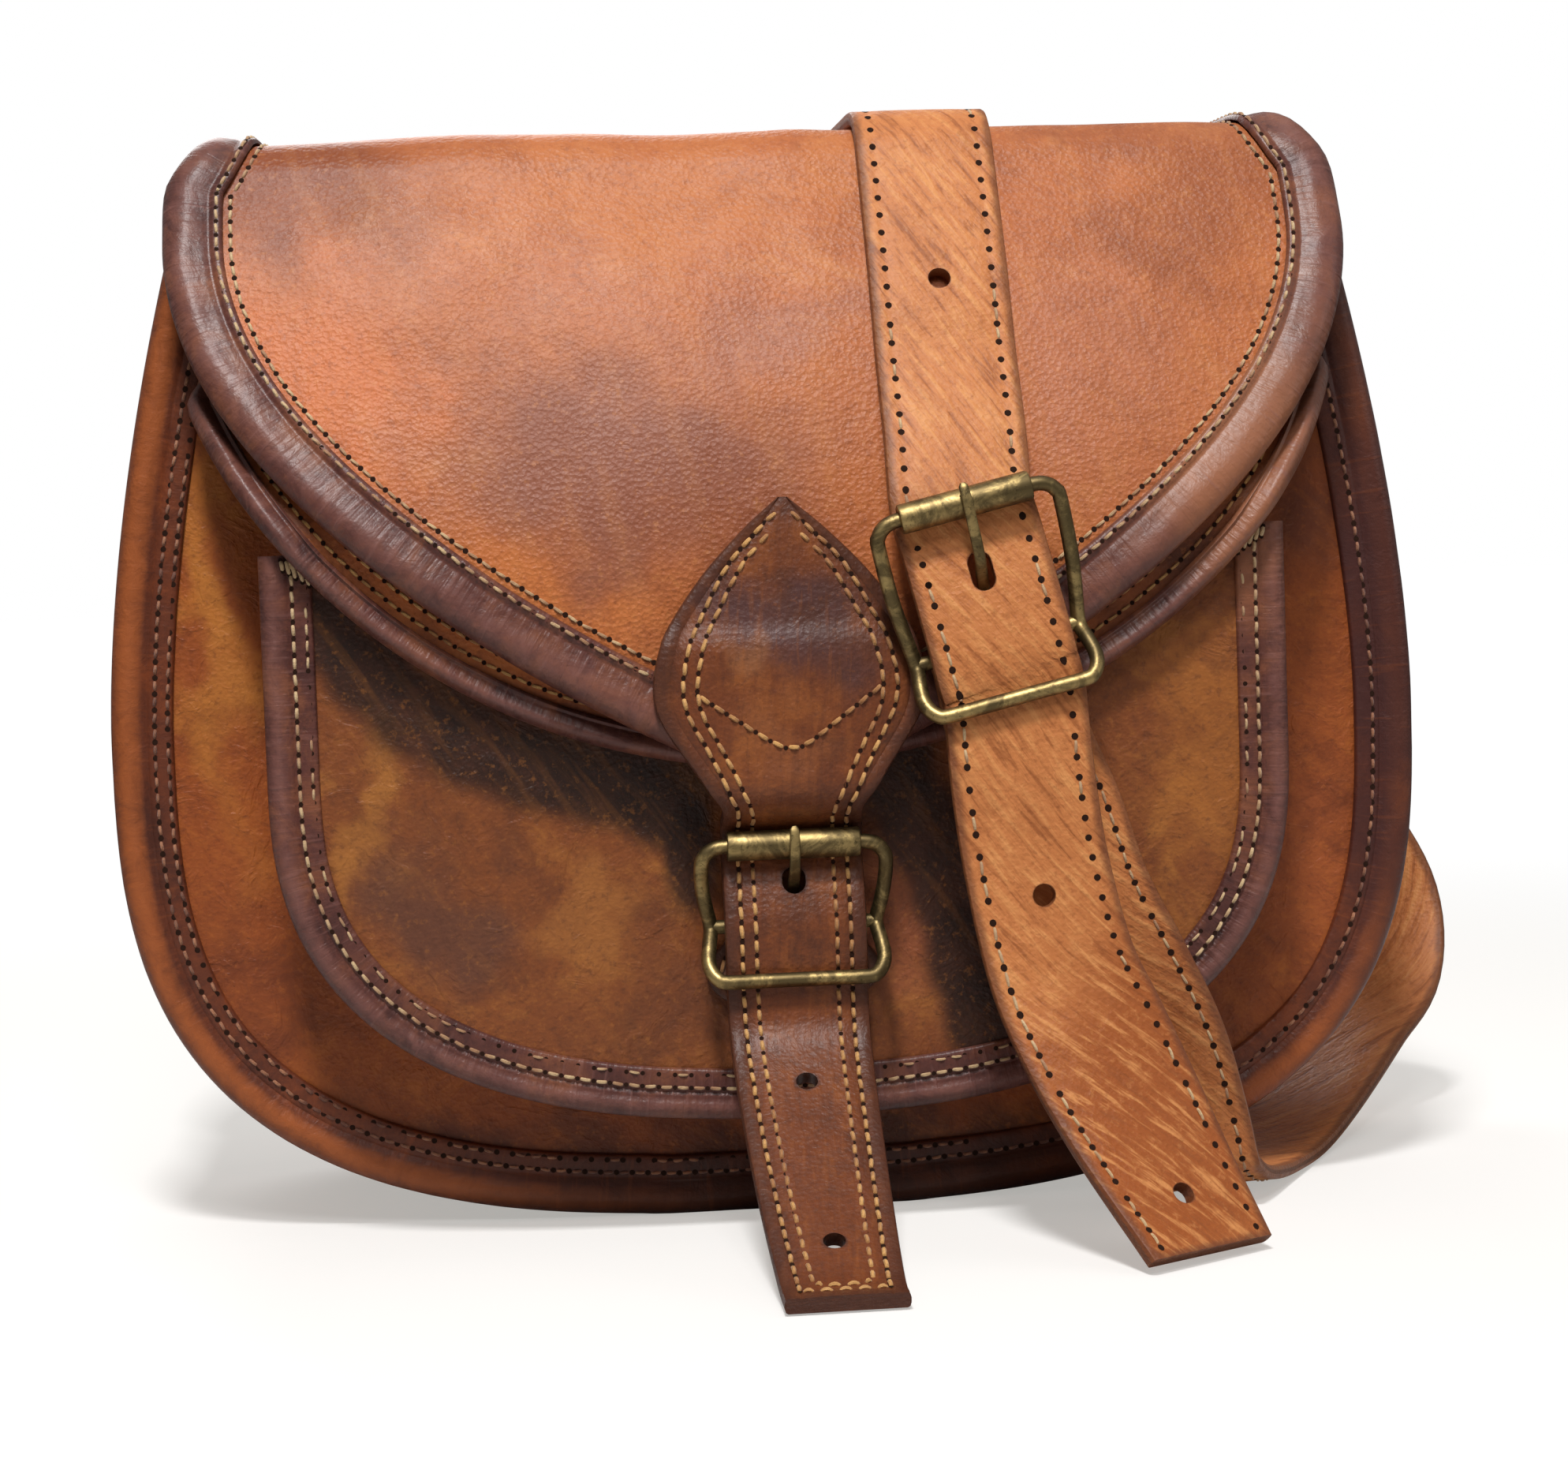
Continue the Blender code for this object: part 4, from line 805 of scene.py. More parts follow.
    def build(self, name: str, materials: Sequence[str] = (), sharp: float = 48.0) -> Piece:
        """Turn what was gathered into an object.

        Args:
            name: the object's name.
            materials: names of what its slots hold.
            sharp: angle in degrees above which an edge isn't shaded smooth.

        Returns:
            The object, linked to the scene.
        """
        mesh = bpy.data.meshes.new(name)
        mesh.from_pydata([p * MM for p in self.points], [], self.faces)
        mesh.polygons.foreach_set("material_index", self.slots)
        sheet = mesh.uv_layers.new(name="UVMap")
        corners = np.zeros(len(mesh.loops), dtype=np.int32)
        mesh.loops.foreach_get("vertex_index", corners)
        sheet.data.foreach_set("uv", (np.array(self.sheets, dtype=np.float32)[corners] * MM).ravel())
        for key, values in (("edge", self.edges), ("crest", self.crests)):
            mesh.attributes.new(key, "FLOAT", "POINT").data.foreach_set("value", values)
        for material in materials:
            mesh.materials.append(self.materials[material])
        solid = bmesh.new()
        solid.from_mesh(mesh)
        bmesh.ops.recalc_face_normals(solid, faces=solid.faces)
        solid.to_mesh(mesh)
        solid.free()
        mesh.shade_smooth()
        mesh.set_sharp_from_angle(angle=radians(sharp))
        return linked(name, mesh)


def linked(name: str, data: Any) -> Piece:
    """New object in the scene."""
    made = bpy.data.objects.new(name, data)
    bpy.context.scene.collection.objects.link(made)
    return made


def punched(piece: Piece, cutters: Sequence[Piece]) -> None:
    """Cut holes through a piece's mesh and remove the cutters.

    Args:
        piece: what is cut.
        cutters: solids that are cut out of it.
    """
    for cutter in cutters:
        hole = piece.modifiers.new(cutter.name, "BOOLEAN")
        hole.operation = "DIFFERENCE"
        hole.solver = "EXACT"
        hole.object = cutter
    view = bpy.context.evaluated_depsgraph_get()
    seen = piece.evaluated_get(view)
    cut = bpy.data.meshes.new_from_object(seen, preserve_all_data_layers=True, depsgraph=view)
    piece.modifiers.clear()
    old, piece.data = piece.data, cut
    bpy.data.meshes.remove(old)
    cut.name = piece.name
    cut.set_sharp_from_angle(angle=radians(40))
    for cutter in cutters:
        bpy.data.objects.remove(cutter)


def merged(target: Piece, extra: Piece) -> None:
    """Move one object's mesh into another that has the same materials."""
    solid = bmesh.new()
    solid.from_mesh(target.data)
    solid.from_mesh(extra.data)
    solid.to_mesh(target.data)
    solid.free()
    bpy.data.objects.remove(extra)


@dataclass
class Seam:
    """Row of stitches between needle holes."""

    pitch: float = 3.5
    gap: float = 1.0
    thread: float = 0.36
    hole: float = 0.42
    rise: float = 0.2
    sewn: float = 1.0
    seed: int = 1
    chance: random.Random = field(init=False)

    def __post_init__(self) -> None:
        """Seed its small irregularities."""
        self.chance = random.Random(self.seed)

    def sew(self, shell: Shell, ribbon: Ribbon, line: Line, height: Level) -> None:
        """Add the row to a mesh.

        Args:
            shell: the mesh.
            ribbon: the leather that is sewn.
            line: where the row runs on it.
            height: height of the leather's face over the ribbon's middle, or a function of the place.
        """
        places = resampled(line, self.pitch)
        level = height if callable(height) else lambda across, along: height
        for here, there in zip(places, places[1:]):
            span = there - here
            if span.length < self.gap * 1.2:
                continue
            way = span.normalized()
            self._hole(shell, ribbon, here, level)
            if self.chance.random() > self.sewn:
                continue
            stray = Vector((-way.y, way.x)) * self.chance.uniform(-0.12, 0.12)
            start = here + way * (self.gap / 2) + stray
            stop = there - way * (self.gap / 2) - stray
            self._stitch(shell, ribbon, start, stop, level)
        self._hole(shell, ribbon, places[-1], level)

    def _stitch(self, shell: Shell, ribbon: Ribbon, start: Vector, stop: Vector, level: Relief) -> None:
        """One arched thread that dips into the leather at both ends."""
        first = ribbon.at(start.x, start.y, level(start.x, start.y))
        final = ribbon.at(stop.x, stop.y, level(stop.x, stop.y))
        lift = ribbon.turned(ribbon.lifts, (start.y + stop.y) / 2)
        side = (final - first).cross(lift).normalized()
        rings = []
        for share, rise, width in ((0.0, -0.3, 0.5), (0.08, 0.0, 0.9), (0.3, 0.85, 1.0), (0.5, 1.0, 1.05),
                                   (0.7, 0.85, 1.0), (0.92, 0.0, 0.9), (1.0, -0.3, 0.5)):
            middle = first.lerp(final, share) + lift * rise * self.rise
            reaches = [side * cosine + lift * sine for cosine, sine in circle(6)]
            rings.append([shell.point(middle + reach * self.thread * width, (k * 0.3, share * 3))
                          for k, reach in enumerate(reaches)])
        shell.loft(rings, Slot.THREAD)

    def _hole(self, shell: Shell, ribbon: Ribbon, place: Vector, level: Relief) -> None:
        """Needle hole, drawn as a flat disc just over the face in the near-black of painted shade."""
        height = level(place.x, place.y) + 0.05
        places = [(place.x + self.hole * cosine, place.y + self.hole * sine) for cosine, sine in circle(10)]
        shell.face([shell.point(ribbon.at(across, along, height)) for across, along in places], Slot.HOLE)


# Finishes

ORANGE = (0.46, 0.135, 0.04)
GOLD = (0.62, 0.245, 0.08)
RUST = (0.25, 0.066, 0.024)

FLAP_STAINS_AND_PAINTED_LIGHT = (
    StainOrPaintedLight((-82, -66, 146), (30, 40, 42), (0.6, 0.155, 0.036), 0.75),
    # Lighter along the top middle: painted highlight.
    StainOrPaintedLight((-14, -50, 186), (70, 40, 14), (0.54, 0.18, 0.055), 0.65),
    StainOrPaintedLight((-26, -68, 138), (46, 30, 24), (0.22, 0.082, 0.058), 0.75),
    StainOrPaintedLight((2, -66, 162), (34, 30, 12), (0.34, 0.12, 0.068), 0.6),
    # Darker over the top left, where the flap's top faces the lamps: painted shade.
    StainOrPaintedLight((-88, -40, 194), (44, 40, 22), (0.19, 0.042, 0.012), 0.85),
    StainOrPaintedLight((58, -66, 156), (30, 40, 34), (0.44, 0.145, 0.066), 0.65),
    StainOrPaintedLight((-36, -72, 112), (34, 30, 12), (0.56, 0.17, 0.045), 0.6),
    StainOrPaintedLight((84, -50, 188), (22, 40, 24), (0.26, 0.075, 0.032), 0.6),
)
POCKET_STAINS_AND_SHADE = (
    StainOrPaintedLight((-74, -61, 76), (7, 20, 26), (0.42, 0.16, 0.034), 0.7),
    StainOrPaintedLight((-60, -61, 58), (16, 20, 22), (0.11, 0.044, 0.028), 0.75),
    StainOrPaintedLight((-34, -61, 56), (20, 20, 9), (0.36, 0.13, 0.032), 0.7),
    StainOrPaintedLight((-22, -61, 40), (22, 20, 14), (0.2, 0.06, 0.02), 0.6),
    StainOrPaintedLight((22, -61, 56), (9, 20, 26), (0.34, 0.1, 0.045), 0.6),
    StainOrPaintedLight((78, -61, 84), (13, 20, 30), (0.4, 0.135, 0.028), 0.7),
    # Painted shade: crisp near-black patches below the pocket flap's edge, then beside the long strap.
    *shaded(((-86, 118, 6, 9), (-80, 110.5, 8, 9), (-73, 103, 10, 9.5), (-64, 95.5, 12, 10),
             (-54, 89.5, 13, 10), (-43, 85, 14, 10), (-32, 82, 14, 10), (-22, 78.5, 11, 11),
             (-17.5, 68, 6, 13), (19, 84, 10, 12), (24, 72, 10, 12), (28.5, 60, 9, 12), (31, 48, 9, 12),
             (34, 37, 9, 11), (39, 27, 8, 9))),
)
FRONT_STAINS_AND_SHADE = (
    StainOrPaintedLight((-101, -39, 110), (9, 20, 46), (0.52, 0.19, 0.034), 0.75),
    StainOrPaintedLight((-60, -39, 10), (60, 20, 14), (0.1, 0.027, 0.013), 0.85),
    StainOrPaintedLight((20, -39, 8), (90, 20, 18), (0.035, 0.013, 0.009), 0.85),
    StainOrPaintedLight((100, -39, 62), (20, 20, 40), (0.36, 0.09, 0.026), 0.5),
    # Dark at the right between the flap and the pocket: darker leather with painted shade.
    StainOrPaintedLight((104, -39, 128), (14, 20, 22), (0.12, 0.034, 0.02), 0.7),
)
FINISHES = (
    Leather("flap_leather", GOLD, ORANGE, RUST, cloud_size=46, light_share=0.42, roughness=0.44,
            edge_width=9, edge_share=0.45, edge_colour=(0.2, 0.055, 0.025), grain_depth=0.22,
            streaks=0.12, streak_size=4.0, streak_turn=-12, stains_and_painted_light=FLAP_STAINS_AND_PAINTED_LIGHT),
    Leather("pocket_leather", (0.4, 0.145, 0.032), (0.22, 0.063, 0.018), (0.085, 0.028, 0.015),
            cloud_size=30, stains_and_painted_light=POCKET_STAINS_AND_SHADE, edge_colour=(0.07, 0.022, 0.012), shift=0.3,
            crease_depth=0.1, streaks=0.14, streak_size=3.6, streak_turn=-35),
    Leather("pocket_flap_leather", (0.6, 0.19, 0.05), (0.46, 0.125, 0.034), (0.22, 0.058, 0.02),
            cloud_size=26, shift=0.5, edge_share=0.3,
            # Dark patch on the right: painted shade under the main flap's right side.
            stains_and_painted_light=(StainOrPaintedLight((72, -60, 122), (32, 30, 30), (0.055, 0.02, 0.013), 0.9),)),
    Leather("front_leather", (0.46, 0.135, 0.025), (0.3, 0.072, 0.016), (0.14, 0.032, 0.011),
            cloud_size=34, stains_and_painted_light=FRONT_STAINS_AND_SHADE, shift=0.8, crease_depth=0.12, streaks=0.16,
            streak_size=2.6, streak_turn=-50),
    Leather("side_leather", (0.42, 0.13, 0.032), (0.3, 0.078, 0.02), (0.15, 0.038, 0.015),
            cloud_size=30, shift=1.1, crease_depth=0.14),
    Leather("rolled_leather", (0.21, 0.072, 0.036), (0.105, 0.035, 0.027), (0.04, 0.015, 0.014),
            cloud_size=20, light_share=0.5, crest=(0.23, 0.1, 0.082), crest_share=0.58, roughness=0.38,
            coat=0.12, edge_share=0.0, shift=1.5, grain_depth=0.05, crease_depth=0.05, pleats=0.36,
            # Lighter tan on the right of the flap's rolled edge: the roll's own tone with painted highlight.
            stains_and_painted_light=(StainOrPaintedLight((80, -66, 138), (34, 40, 36), (0.4, 0.155, 0.07), 0.6),)),
    Leather("orange_rolled_leather", (0.22, 0.052, 0.016), (0.12, 0.03, 0.013), (0.055, 0.016, 0.01),
            cloud_size=17, crest=(0.34, 0.09, 0.024), crest_share=0.85, roughness=0.42, coat=0.1,
            edge_share=0.0, shift=1.9, grain_depth=0.05, crease_depth=0.05, pleats=0.12,
            stains_and_painted_light=(StainOrPaintedLight((119, -38, 100), (34, 20, 110), (0.055, 0.017, 0.015), 0.9),
                    StainOrPaintedLight((108, -38, 190), (30, 20, 60), (0.05, 0.018, 0.016), 0.8),
                    StainOrPaintedLight((16, -38, -2), (110, 20, 26), (0.042, 0.014, 0.009), 0.9))),
    Leather("strap_leather", (0.7, 0.3, 0.1), (0.56, 0.195, 0.06), (0.27, 0.075, 0.02),
            cloud_size=26, light_share=0.42, dark_share=0.38, streaks=0.75, streak_turn=-30,
            roughness=0.5, coat=0.06, edge_width=1.6, edge_share=0.75,
            edge_colour=(0.14, 0.045, 0.02), shift=2.3, crease_depth=0.05,
            stains_and_painted_light=(StainOrPaintedLight((60, -100, 20), (40, 60, 60), (0.3, 0.072, 0.014), 0.9),)),
    Leather("closure_leather", (0.29, 0.088, 0.022), (0.17, 0.046, 0.015), (0.075, 0.025, 0.014),
            cloud_size=22, streaks=0.3, streak_turn=4, roughness=0.42, coat=0.1, edge_width=5.5,
            edge_share=0.75, edge_colour=(0.06, 0.022, 0.014), shift=2.9,
            stains_and_painted_light=(StainOrPaintedLight((1, -77, 111), (17, 20, 15), (0.075, 0.034, 0.034), 0.85),
                    StainOrPaintedLight((-9, -77, 102), (8, 20, 7), (0.3, 0.12, 0.05), 0.6),
                    StainOrPaintedLight((0, -77, 88), (14, 20, 8), (0.26, 0.085, 0.03), 0.6),
                    StainOrPaintedLight((0, -110, 14), (20, 46, 36), (0.15, 0.038, 0.012), 0.6))),
    Leather("patch_leather", (0.2, 0.085, 0.045), (0.12, 0.045, 0.025), (0.055, 0.022, 0.015),
            cloud_size=18, edge_width=3, shift=3.4),
    Thread("ochre_thread", (0.62, 0.33, 0.1), (0.34, 0.14, 0.04)),
    Thread("pale_thread", (0.6, 0.42, 0.22), (0.34, 0.17, 0.08)),
    Thread("rusty_thread", (0.36, 0.15, 0.07), (0.13, 0.042, 0.02)),
    Pierced(),
    Cotton(),
    Brass("antique_brass"),
)


@dataclass(frozen=True)
class Binding:
    """Rolled strip sewn round the edge of a sheet."""

    sheet: float
    width: float
    leg: float
    roll: float
    roll_width: float
    back_width: float = 5.5

    @property
    def slot(self) -> float:
        """Height of its inside over the sheet's middle."""
        return self.sheet / 2 + GAP

    @property
    def face(self) -> float:
        """Height of its flat part over the sheet's middle."""
        return self.slot + self.leg

    def profile(self) -> Profile:
        """Section as (outwards, height, crest)."""
        top, face, wide = self.slot + self.roll, self.face, self.roll_width
        keys = [(-self.width + 0.1, face - 0.45, 0.1), (-self.width + 0.5, face - 0.05, 0.3),
                (-(self.width * 0.5 + wide * 0.5), face + 0.02, 0.4), (-wide - 0.7, face - 0.1, 0.1),
                (-wide - 0.1, face - 0.45, 0.0), (-wide * 0.9, face - 0.15, 0.3),
                (-wide * 0.75, top - 0.3, 0.75), (-wide * 0.5, top + 0.12, 1.0),
                (-wide * 0.26, top - 0.12, 0.95), (-wide * 0.08, top * 0.66, 0.7), (0.25, top * 0.2, 0.55),
                (0.1, -top * 0.35, 0.4), (-0.5, -face * 0.85, 0.3), (-1.4, -face, 0.2)]
        smooth = smooth_path([Vector(k) for k in keys], 2)
        back = -self.back_width
        return [(-self.width, self.slot, 0.0), *((p.x, p.y, held(p.z)) for p in smooth),
                (back + 0.4, -face, 0.2), (back, -face + 0.35, 0.1), (back, -self.slot, 0.0),
                (-1.5, -self.slot, 0.0), (-1.5, self.slot, 0.0)]


def u_outline(half: float, top_half: float, widest_z: float, bottom_z: float, top_z: float, flat: float,
              power: float, narrowing: float) -> list[Vector]:
    """Outline of a U-shaped sheet, from its top left round its flat bottom to its top right, as (x, z).

    Args:
        half: half width where it is widest.
        top_half: half width at its top.
        widest_z: height of the widest place.
        bottom_z: height of its bottom.
        top_z: height of its top.
        flat: half width of the flat part of the bottom.
        power: squareness of the lower corners.
        narrowing: how late the sides draw in towards the top.

    Returns:
        The points.
    """
    right = [Vector((flat, bottom_z))]
    steps = 40
    for k in range(2, steps + 1):
        angle = pi / 2 * k / steps
        x = half * sin(angle) ** (2 / power)
        drop = max(cos(angle), 0.0) ** (2 / power) if k < steps else 0.0
        if x > flat + 4:
            right.append(Vector((x, bottom_z + (widest_z - bottom_z) * (1 - drop))))
    upper = 24
    for k in range(1, upper + 1):
        share = k / upper
        x = half - (half - top_half) * share**narrowing
        right.append(Vector((x, widest_z + (top_z - widest_z) * share)))
    return [Vector((-p.x, p.y)) for p in reversed(right)] + right


def half_width(outline: Line, z: float) -> float:
    """Half width of a U-shaped outline at a height."""
    right = outline[len(outline) // 2 :]
    for low, high in zip(right, right[1:]):
        if low.y <= z <= high.y and high.y > low.y:
            return low.x + (high.x - low.x) * (z - low.y) / (high.y - low.y)
    return right[0].x if z < right[0].y else right[-1].x


def panel_rows(outline: Line, top_z: float, bottom_z: float, inset: float, count: int, low_z: float,
               upper: float) -> Rows:
    """Rows of a U-shaped panel, as (along, half width), from its top down.

    Args:
        outline: the panel's outline as (x, z).
        top_z: where it begins.
        bottom_z: where its outline ends.
        inset: how far the rows stay inside the outline.
        count: number of rows less one.
        low_z: height below which the rows are drawn in half as much again.
        upper: how much of the inset they are drawn in above that.

    Returns:
        The rows.
    """
    rows = []
    for k in range(count + 1):
        z = top_z - (top_z - bottom_z - inset) * sin(pi / 2 * k / count)
        rows.append((top_z - z, half_width(outline, z) - inset * (1.5 if z < low_z else upper)))
    return rows


def on_upright(outline: Line, top_z: float) -> list[Vector]:
    """Outline in (x, z) as (across, along) of an upright sheet."""
    return [Vector((p.x, top_z - p.y)) for p in outline]


def pillow(across: float, low: float, high: float, height: float) -> float:
    """Soft swelling between two places."""
    share = (across - low) / (high - low)
    return height * sin(pi * share) ** 2 if 0 < share < 1 else 0.0


def ripple(across: float, along: float, size: float, height: float, seed: float) -> float:
    """Gentle unevenness of soft leather."""
    return noise.noise(Vector((across / size, along / size, seed))) * height


def lay(piece: Piece, rides: Union[str, Sequence[Any]], slot: str, *nodes: str) -> None:
    """Hang a piece on the body it rides on, or else fix it where it is; hide the parts that it stands for, and
    log both.
    """
    if isinstance(rides, str):
        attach(piece, rides)
    else:
        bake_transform(piece)
    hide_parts(*nodes)
    LOG.info("%s rides on %s and stands for %s", piece.name, rides, ", ".join(nodes))


# The bag


@dataclass
class Body:
    """Main compartment: two panels, the gusset between them, the lining and the rolled bindings."""

    half: float = 120.0
    top_half: float = 102.0
    widest_z: float = 90.0
    flat: float = 22.0
    power: float = 2.9
    narrowing: float = 1.7
    panel: float = 2.0
    recess: float = 2.6
    gusset_depth: float = 35.4
    binding: Binding = Binding(sheet=2.0, width=11.0, leg=1.0, roll=1.4, roll_width=6.2)

    def __post_init__(self) -> None:
        """Draw its outline."""
        self.outline = u_outline(self.half, self.top_half, self.widest_z, 0.0, BODY_TOP_Z, self.flat,
                                 self.power, self.narrowing)

    def rows(self, inset: float) -> Rows:
        """Rows of a panel that stays inside the outline."""
        return panel_rows(self.outline, BODY_TOP_Z, 0.0, inset, 46, 30, 1.05)

    def side_ribbon(self, side: Side) -> Ribbon:
        """Middle of one panel."""
        return upright(side.value * (BACK_Y - self.panel / 2), BODY_TOP_Z, 0.0, side)

    def build_panel(self, side: Side) -> None:
        """Make one flat panel with a slightly soft face."""
        shell = Shell()
        full = 0.8 if side is Side.FRONT else 0.0

        def relief(across: float, along: float) -> float:
            """Fullness near the sides, and unevenness."""
            return pillow(abs(across), 89.0, 109.0, full) + ripple(across, along, 26.0, 0.2, 3.1)

        shell.plate(self.side_ribbon(side), self.rows(UNDER_ROLL), self.panel - 0.2, 56, relief)
        piece = shell.leather(f"{side.name.lower()}_sheet", "front_leather", "rusty_thread")
        lay(piece, "bag", "body_leather", f"{side.name.lower()}_panel")

    def build_binding(self, side: Side) -> None:
        """Make the rolled edge of one panel, with its seams."""
        shell = Shell()
        ribbon = self.side_ribbon(side)
        edge = on_upright(self.outline, BODY_TOP_Z)
        shell.sweep(ribbon, resampled(edge, 2.6), self.binding.profile(), 0.25)
        dense = resampled(edge, 1.0)
        level = self.binding.face - 0.03
        thread = {**FINE, "gap": 1.2, "hole": 0.52}
        Seam(seed=11, **thread).sew(shell, ribbon, moved_in(dense, 7.7), level)
        half = [p for p in moved_in(dense, 10.0) if p.x < 34.0]
        Seam(seed=12, sewn=0.7, **thread).sew(shell, ribbon, half, level)
        name = f"{side.name.lower()}_edge_roll"
        piece = shell.leather(name, "orange_rolled_leather", "rusty_thread")
        lay(piece, "bag", "binding_leather", f"{side.name.lower()}_binding")

    def inside(self, distance: float) -> list[Vector]:
        """Outline of a layer inside the body, level with the base at its bottom."""
        line = []
        for point, way in zip(self.outline, tangents(self.outline)):
            inset = distance + self.recess * min(point.y / 20.0, 1.0)
            moved = point - Vector((way.y, -way.x)) * inset
            moved.y = point.y if point.y > BODY_TOP_Z - 0.01 else moved.y
            line.append(moved)
        return line

    def build_gusset(self) -> None:
        """Make the strip round the sides and the base."""
        shell = Shell()
        shell.band(self.inside(0.0), -self.gusset_depth, self.gusset_depth, 2.0, 0.9)
        lay(shell.leather("gusset_strip", "side_leather"), "bag", "body_leather", "gusset")

    def build_lining(self) -> None:
        """Make the cloth tub inside."""
        shell = Shell()
        depth = 32.6
        cloth = 0.5
        outline = self.inside(3.4)
        shell.band(outline, -depth, depth, cloth, -1.2)
        rows = [(along, max(half_width(outline, BODY_TOP_Z - along) - 0.6, 6.0))
                for along, _ in self.rows(6.5)]
        for side in Side:
            ribbon = upright(side.value * (depth + 0.3), BODY_TOP_Z, 0.0, side)
            shell.plate(ribbon, rows, cloth, 24, lambda a, b: ripple(a, b, 30.0, 0.5, 5.0) - 0.4)
        tub = shell.build("lining_cloth", ["lining_cotton"])
        lay(tub, "bag", "lining_cloth", "lining")

    def build(self) -> None:
        """Make the whole compartment."""
        for side in Side:
            self.build_panel(side)
        self.build_gusset()
        self.build_lining()
        for side in Side:
            self.build_binding(side)


@dataclass
class MainFlap:
    """Pointed flap: its sheet, sewn to the back panel, and its rolled edge."""

    half: float = 106.0
    ridge_half: float = 99.5
    hem_half: float = 88.0
    hem_z: float = 176.2
    tip_z: float = 79.5
    level_z: float = 118.0
    side_z: float = 179.5
    bend_z: float = 188.0
    side_drop: float = 3.0
    thickness: float = 2.0
    binding: Binding = Binding(sheet=2.7, width=10.5, leg=1.0, roll=1.4, roll_width=8.0)
    turn_from: float = 40.5
    turn_to: float = 26.0

    @property
    def rides(self) -> tuple[Any, ...]:
        """The bag, the flap and two places in metres where leather over the ridge passes from one to the
        other; lay only logs them.
        """
        return "bag", "flap", (0, self.turn_from * MM, 0.19), (0, self.turn_to * MM, 0.19)

    def rise(self, z: float) -> float:
        """How far up a height lies between the flat part of the flap and its bend."""
        return max(0.0, z - self.level_z) / (self.bend_z - self.level_z)

    def front_y(self, z: float) -> float:
        """Middle of the hanging sheet at a height."""
        return FLAP_Y + (FLAP_BEND_Y - FLAP_Y) * self.rise(z) ** 1.7

    def out(self, z: float) -> Vector:
        """Direction out of the hanging sheet."""
        return Vector((0, -1, self.front_y(z + 0.5) - self.front_y(z - 0.5))).normalized()

    def fall(self, x: float, z: float) -> float:
        """How far the hanging sheet falls back towards its sides."""
        return self.side_drop * sin(pi * min(self.rise(z), 1.0)) * (x / self.half) ** 2

    def over(self, x: float, z: float, height: float) -> Vector:
        """Point of the hanging sheet at a height over its middle."""
        return Vector((x, self.front_y(z), z)) + self.out(z) * (height - self.fall(x, z))

    def ridge_rows(self) -> list[Spot]:
        """Middle of the sheet over the top, as (y, z, half width)."""
        half, wider = self.ridge_half, self.half - self.ridge_half
        return [(HINGE_Y, HINGE_Z, half), (35.0, HINGE_Z + 1.925, half), (19.0, RIDGE_Z - 0.5, half),
                (0.0, RIDGE_Z, half), (-19.0, RIDGE_Z - 0.2, half),
                (-33.0, RIDGE_Z - 0.5, half + 0.1 * wider), (-38.2, RIDGE_Z - 1.8, half + 0.35 * wider),
                (-41.4, RIDGE_Z - 4.8, half + 0.7 * wider), (-43.1, self.bend_z + 2.0, half + 0.95 * wider)]

    def width_at(self, z: float) -> float:
        """Half width of the hanging part at a height."""
        rise = held((z - self.tip_z) / (self.side_z - self.tip_z))
        return self.half * (1 - (1 - rise) ** 1.9) ** 0.91

    def __post_init__(self) -> None:
        """Lay the sheet out from its hem to its tip."""
        rows = [(39.3, self.hem_z, self.hem_half), (39.3, 186.0, self.hem_half), (39.25, 191.8, 89.5),
                *self.ridge_rows()]
        keys = smooth_path([Vector(r) for r in rows], 5)
        steps = 76
        top = self.bend_z - 2.0
        for k in range(steps + 1):
            z = top + (self.tip_z - top) * k / steps
            keys.append(Vector((self.front_y(z), z, self.width_at(z))))
        points = [Vector((0, k.x, k.y)) for k in keys]
        self.ribbon = Ribbon(points, outwards(points), self.settle)
        self.rows = [(along, k.z) for along, k in zip(self.ribbon.places, keys)]

    def settle(self, across: float, along: float) -> float:
        """How far the sheet falls back towards its sides."""
        middle = self.ribbon.reading(self.ribbon.points, along)
        corner = 1.6 * (across / self.half) ** 8
        if middle.y > FLAP_BEND_Y + 0.5:
            return -corner
        return -self.fall(across, middle.z) - corner * held((middle.z - self.level_z - 56.0) / 14.0)

    def edge(self, start_y: float) -> list[Vector]:
        """Edge from a place on the ridge, down the left, round the tip and up again."""
        start = next(i for i, p in enumerate(self.ribbon.points) if p.y <= start_y)
        left = [Vector((-half, along)) for along, half in self.rows[start:-1]]
        tip = Vector((0.0, self.ribbon.length))
        return left + [tip] + [Vector((-p.x, p.y)) for p in reversed(left)]

    def relief(self, across: float, along: float) -> float:
        """Soft waves of the sheet, kept flat under the straps and the binding."""
        half = next((h for a, h in self.rows if a >= along), 1.0)
        calm = held((half - 13.0 - abs(across)) / 14.0)
        calm *= held((abs(across - 31.0) - 16.0) / 10.0)
        calm *= held((self.ribbon.length - 56.0 - along) / 20.0 + abs(across) / 50.0)
        waves = ripple(across, along, 34.0, 0.8, 9.3) + ripple(across, along, 13.0, 0.3, 2.2) + 0.2
        return calm * max(waves, -0.2)

    def sew_edge(self, shell: Shell, inset: float, clear: float, seed: int, level: Level,
                 hole: float) -> None:
        """Sew a row along the edge in two halves that stop before the tip.

        Args:
            shell: the mesh.
            inset: distance from the edge.
            clear: distance from the tip that stays unsewn.
            seed: seed of the first half.
            level: height of the face.
            hole: radius of the needle holes.
        """
        dense = moved_in(resampled(self.edge(35.1), 1.0), inset)
        row = [p for p in dense if self.ribbon.length - p.y > clear]
        cut = len(row) // 2
        for number, part in enumerate((row[:cut], row[cut:])):
            Seam(seed=seed + number, hole=hole, **FINE).sew(shell, self.ribbon, part, level)

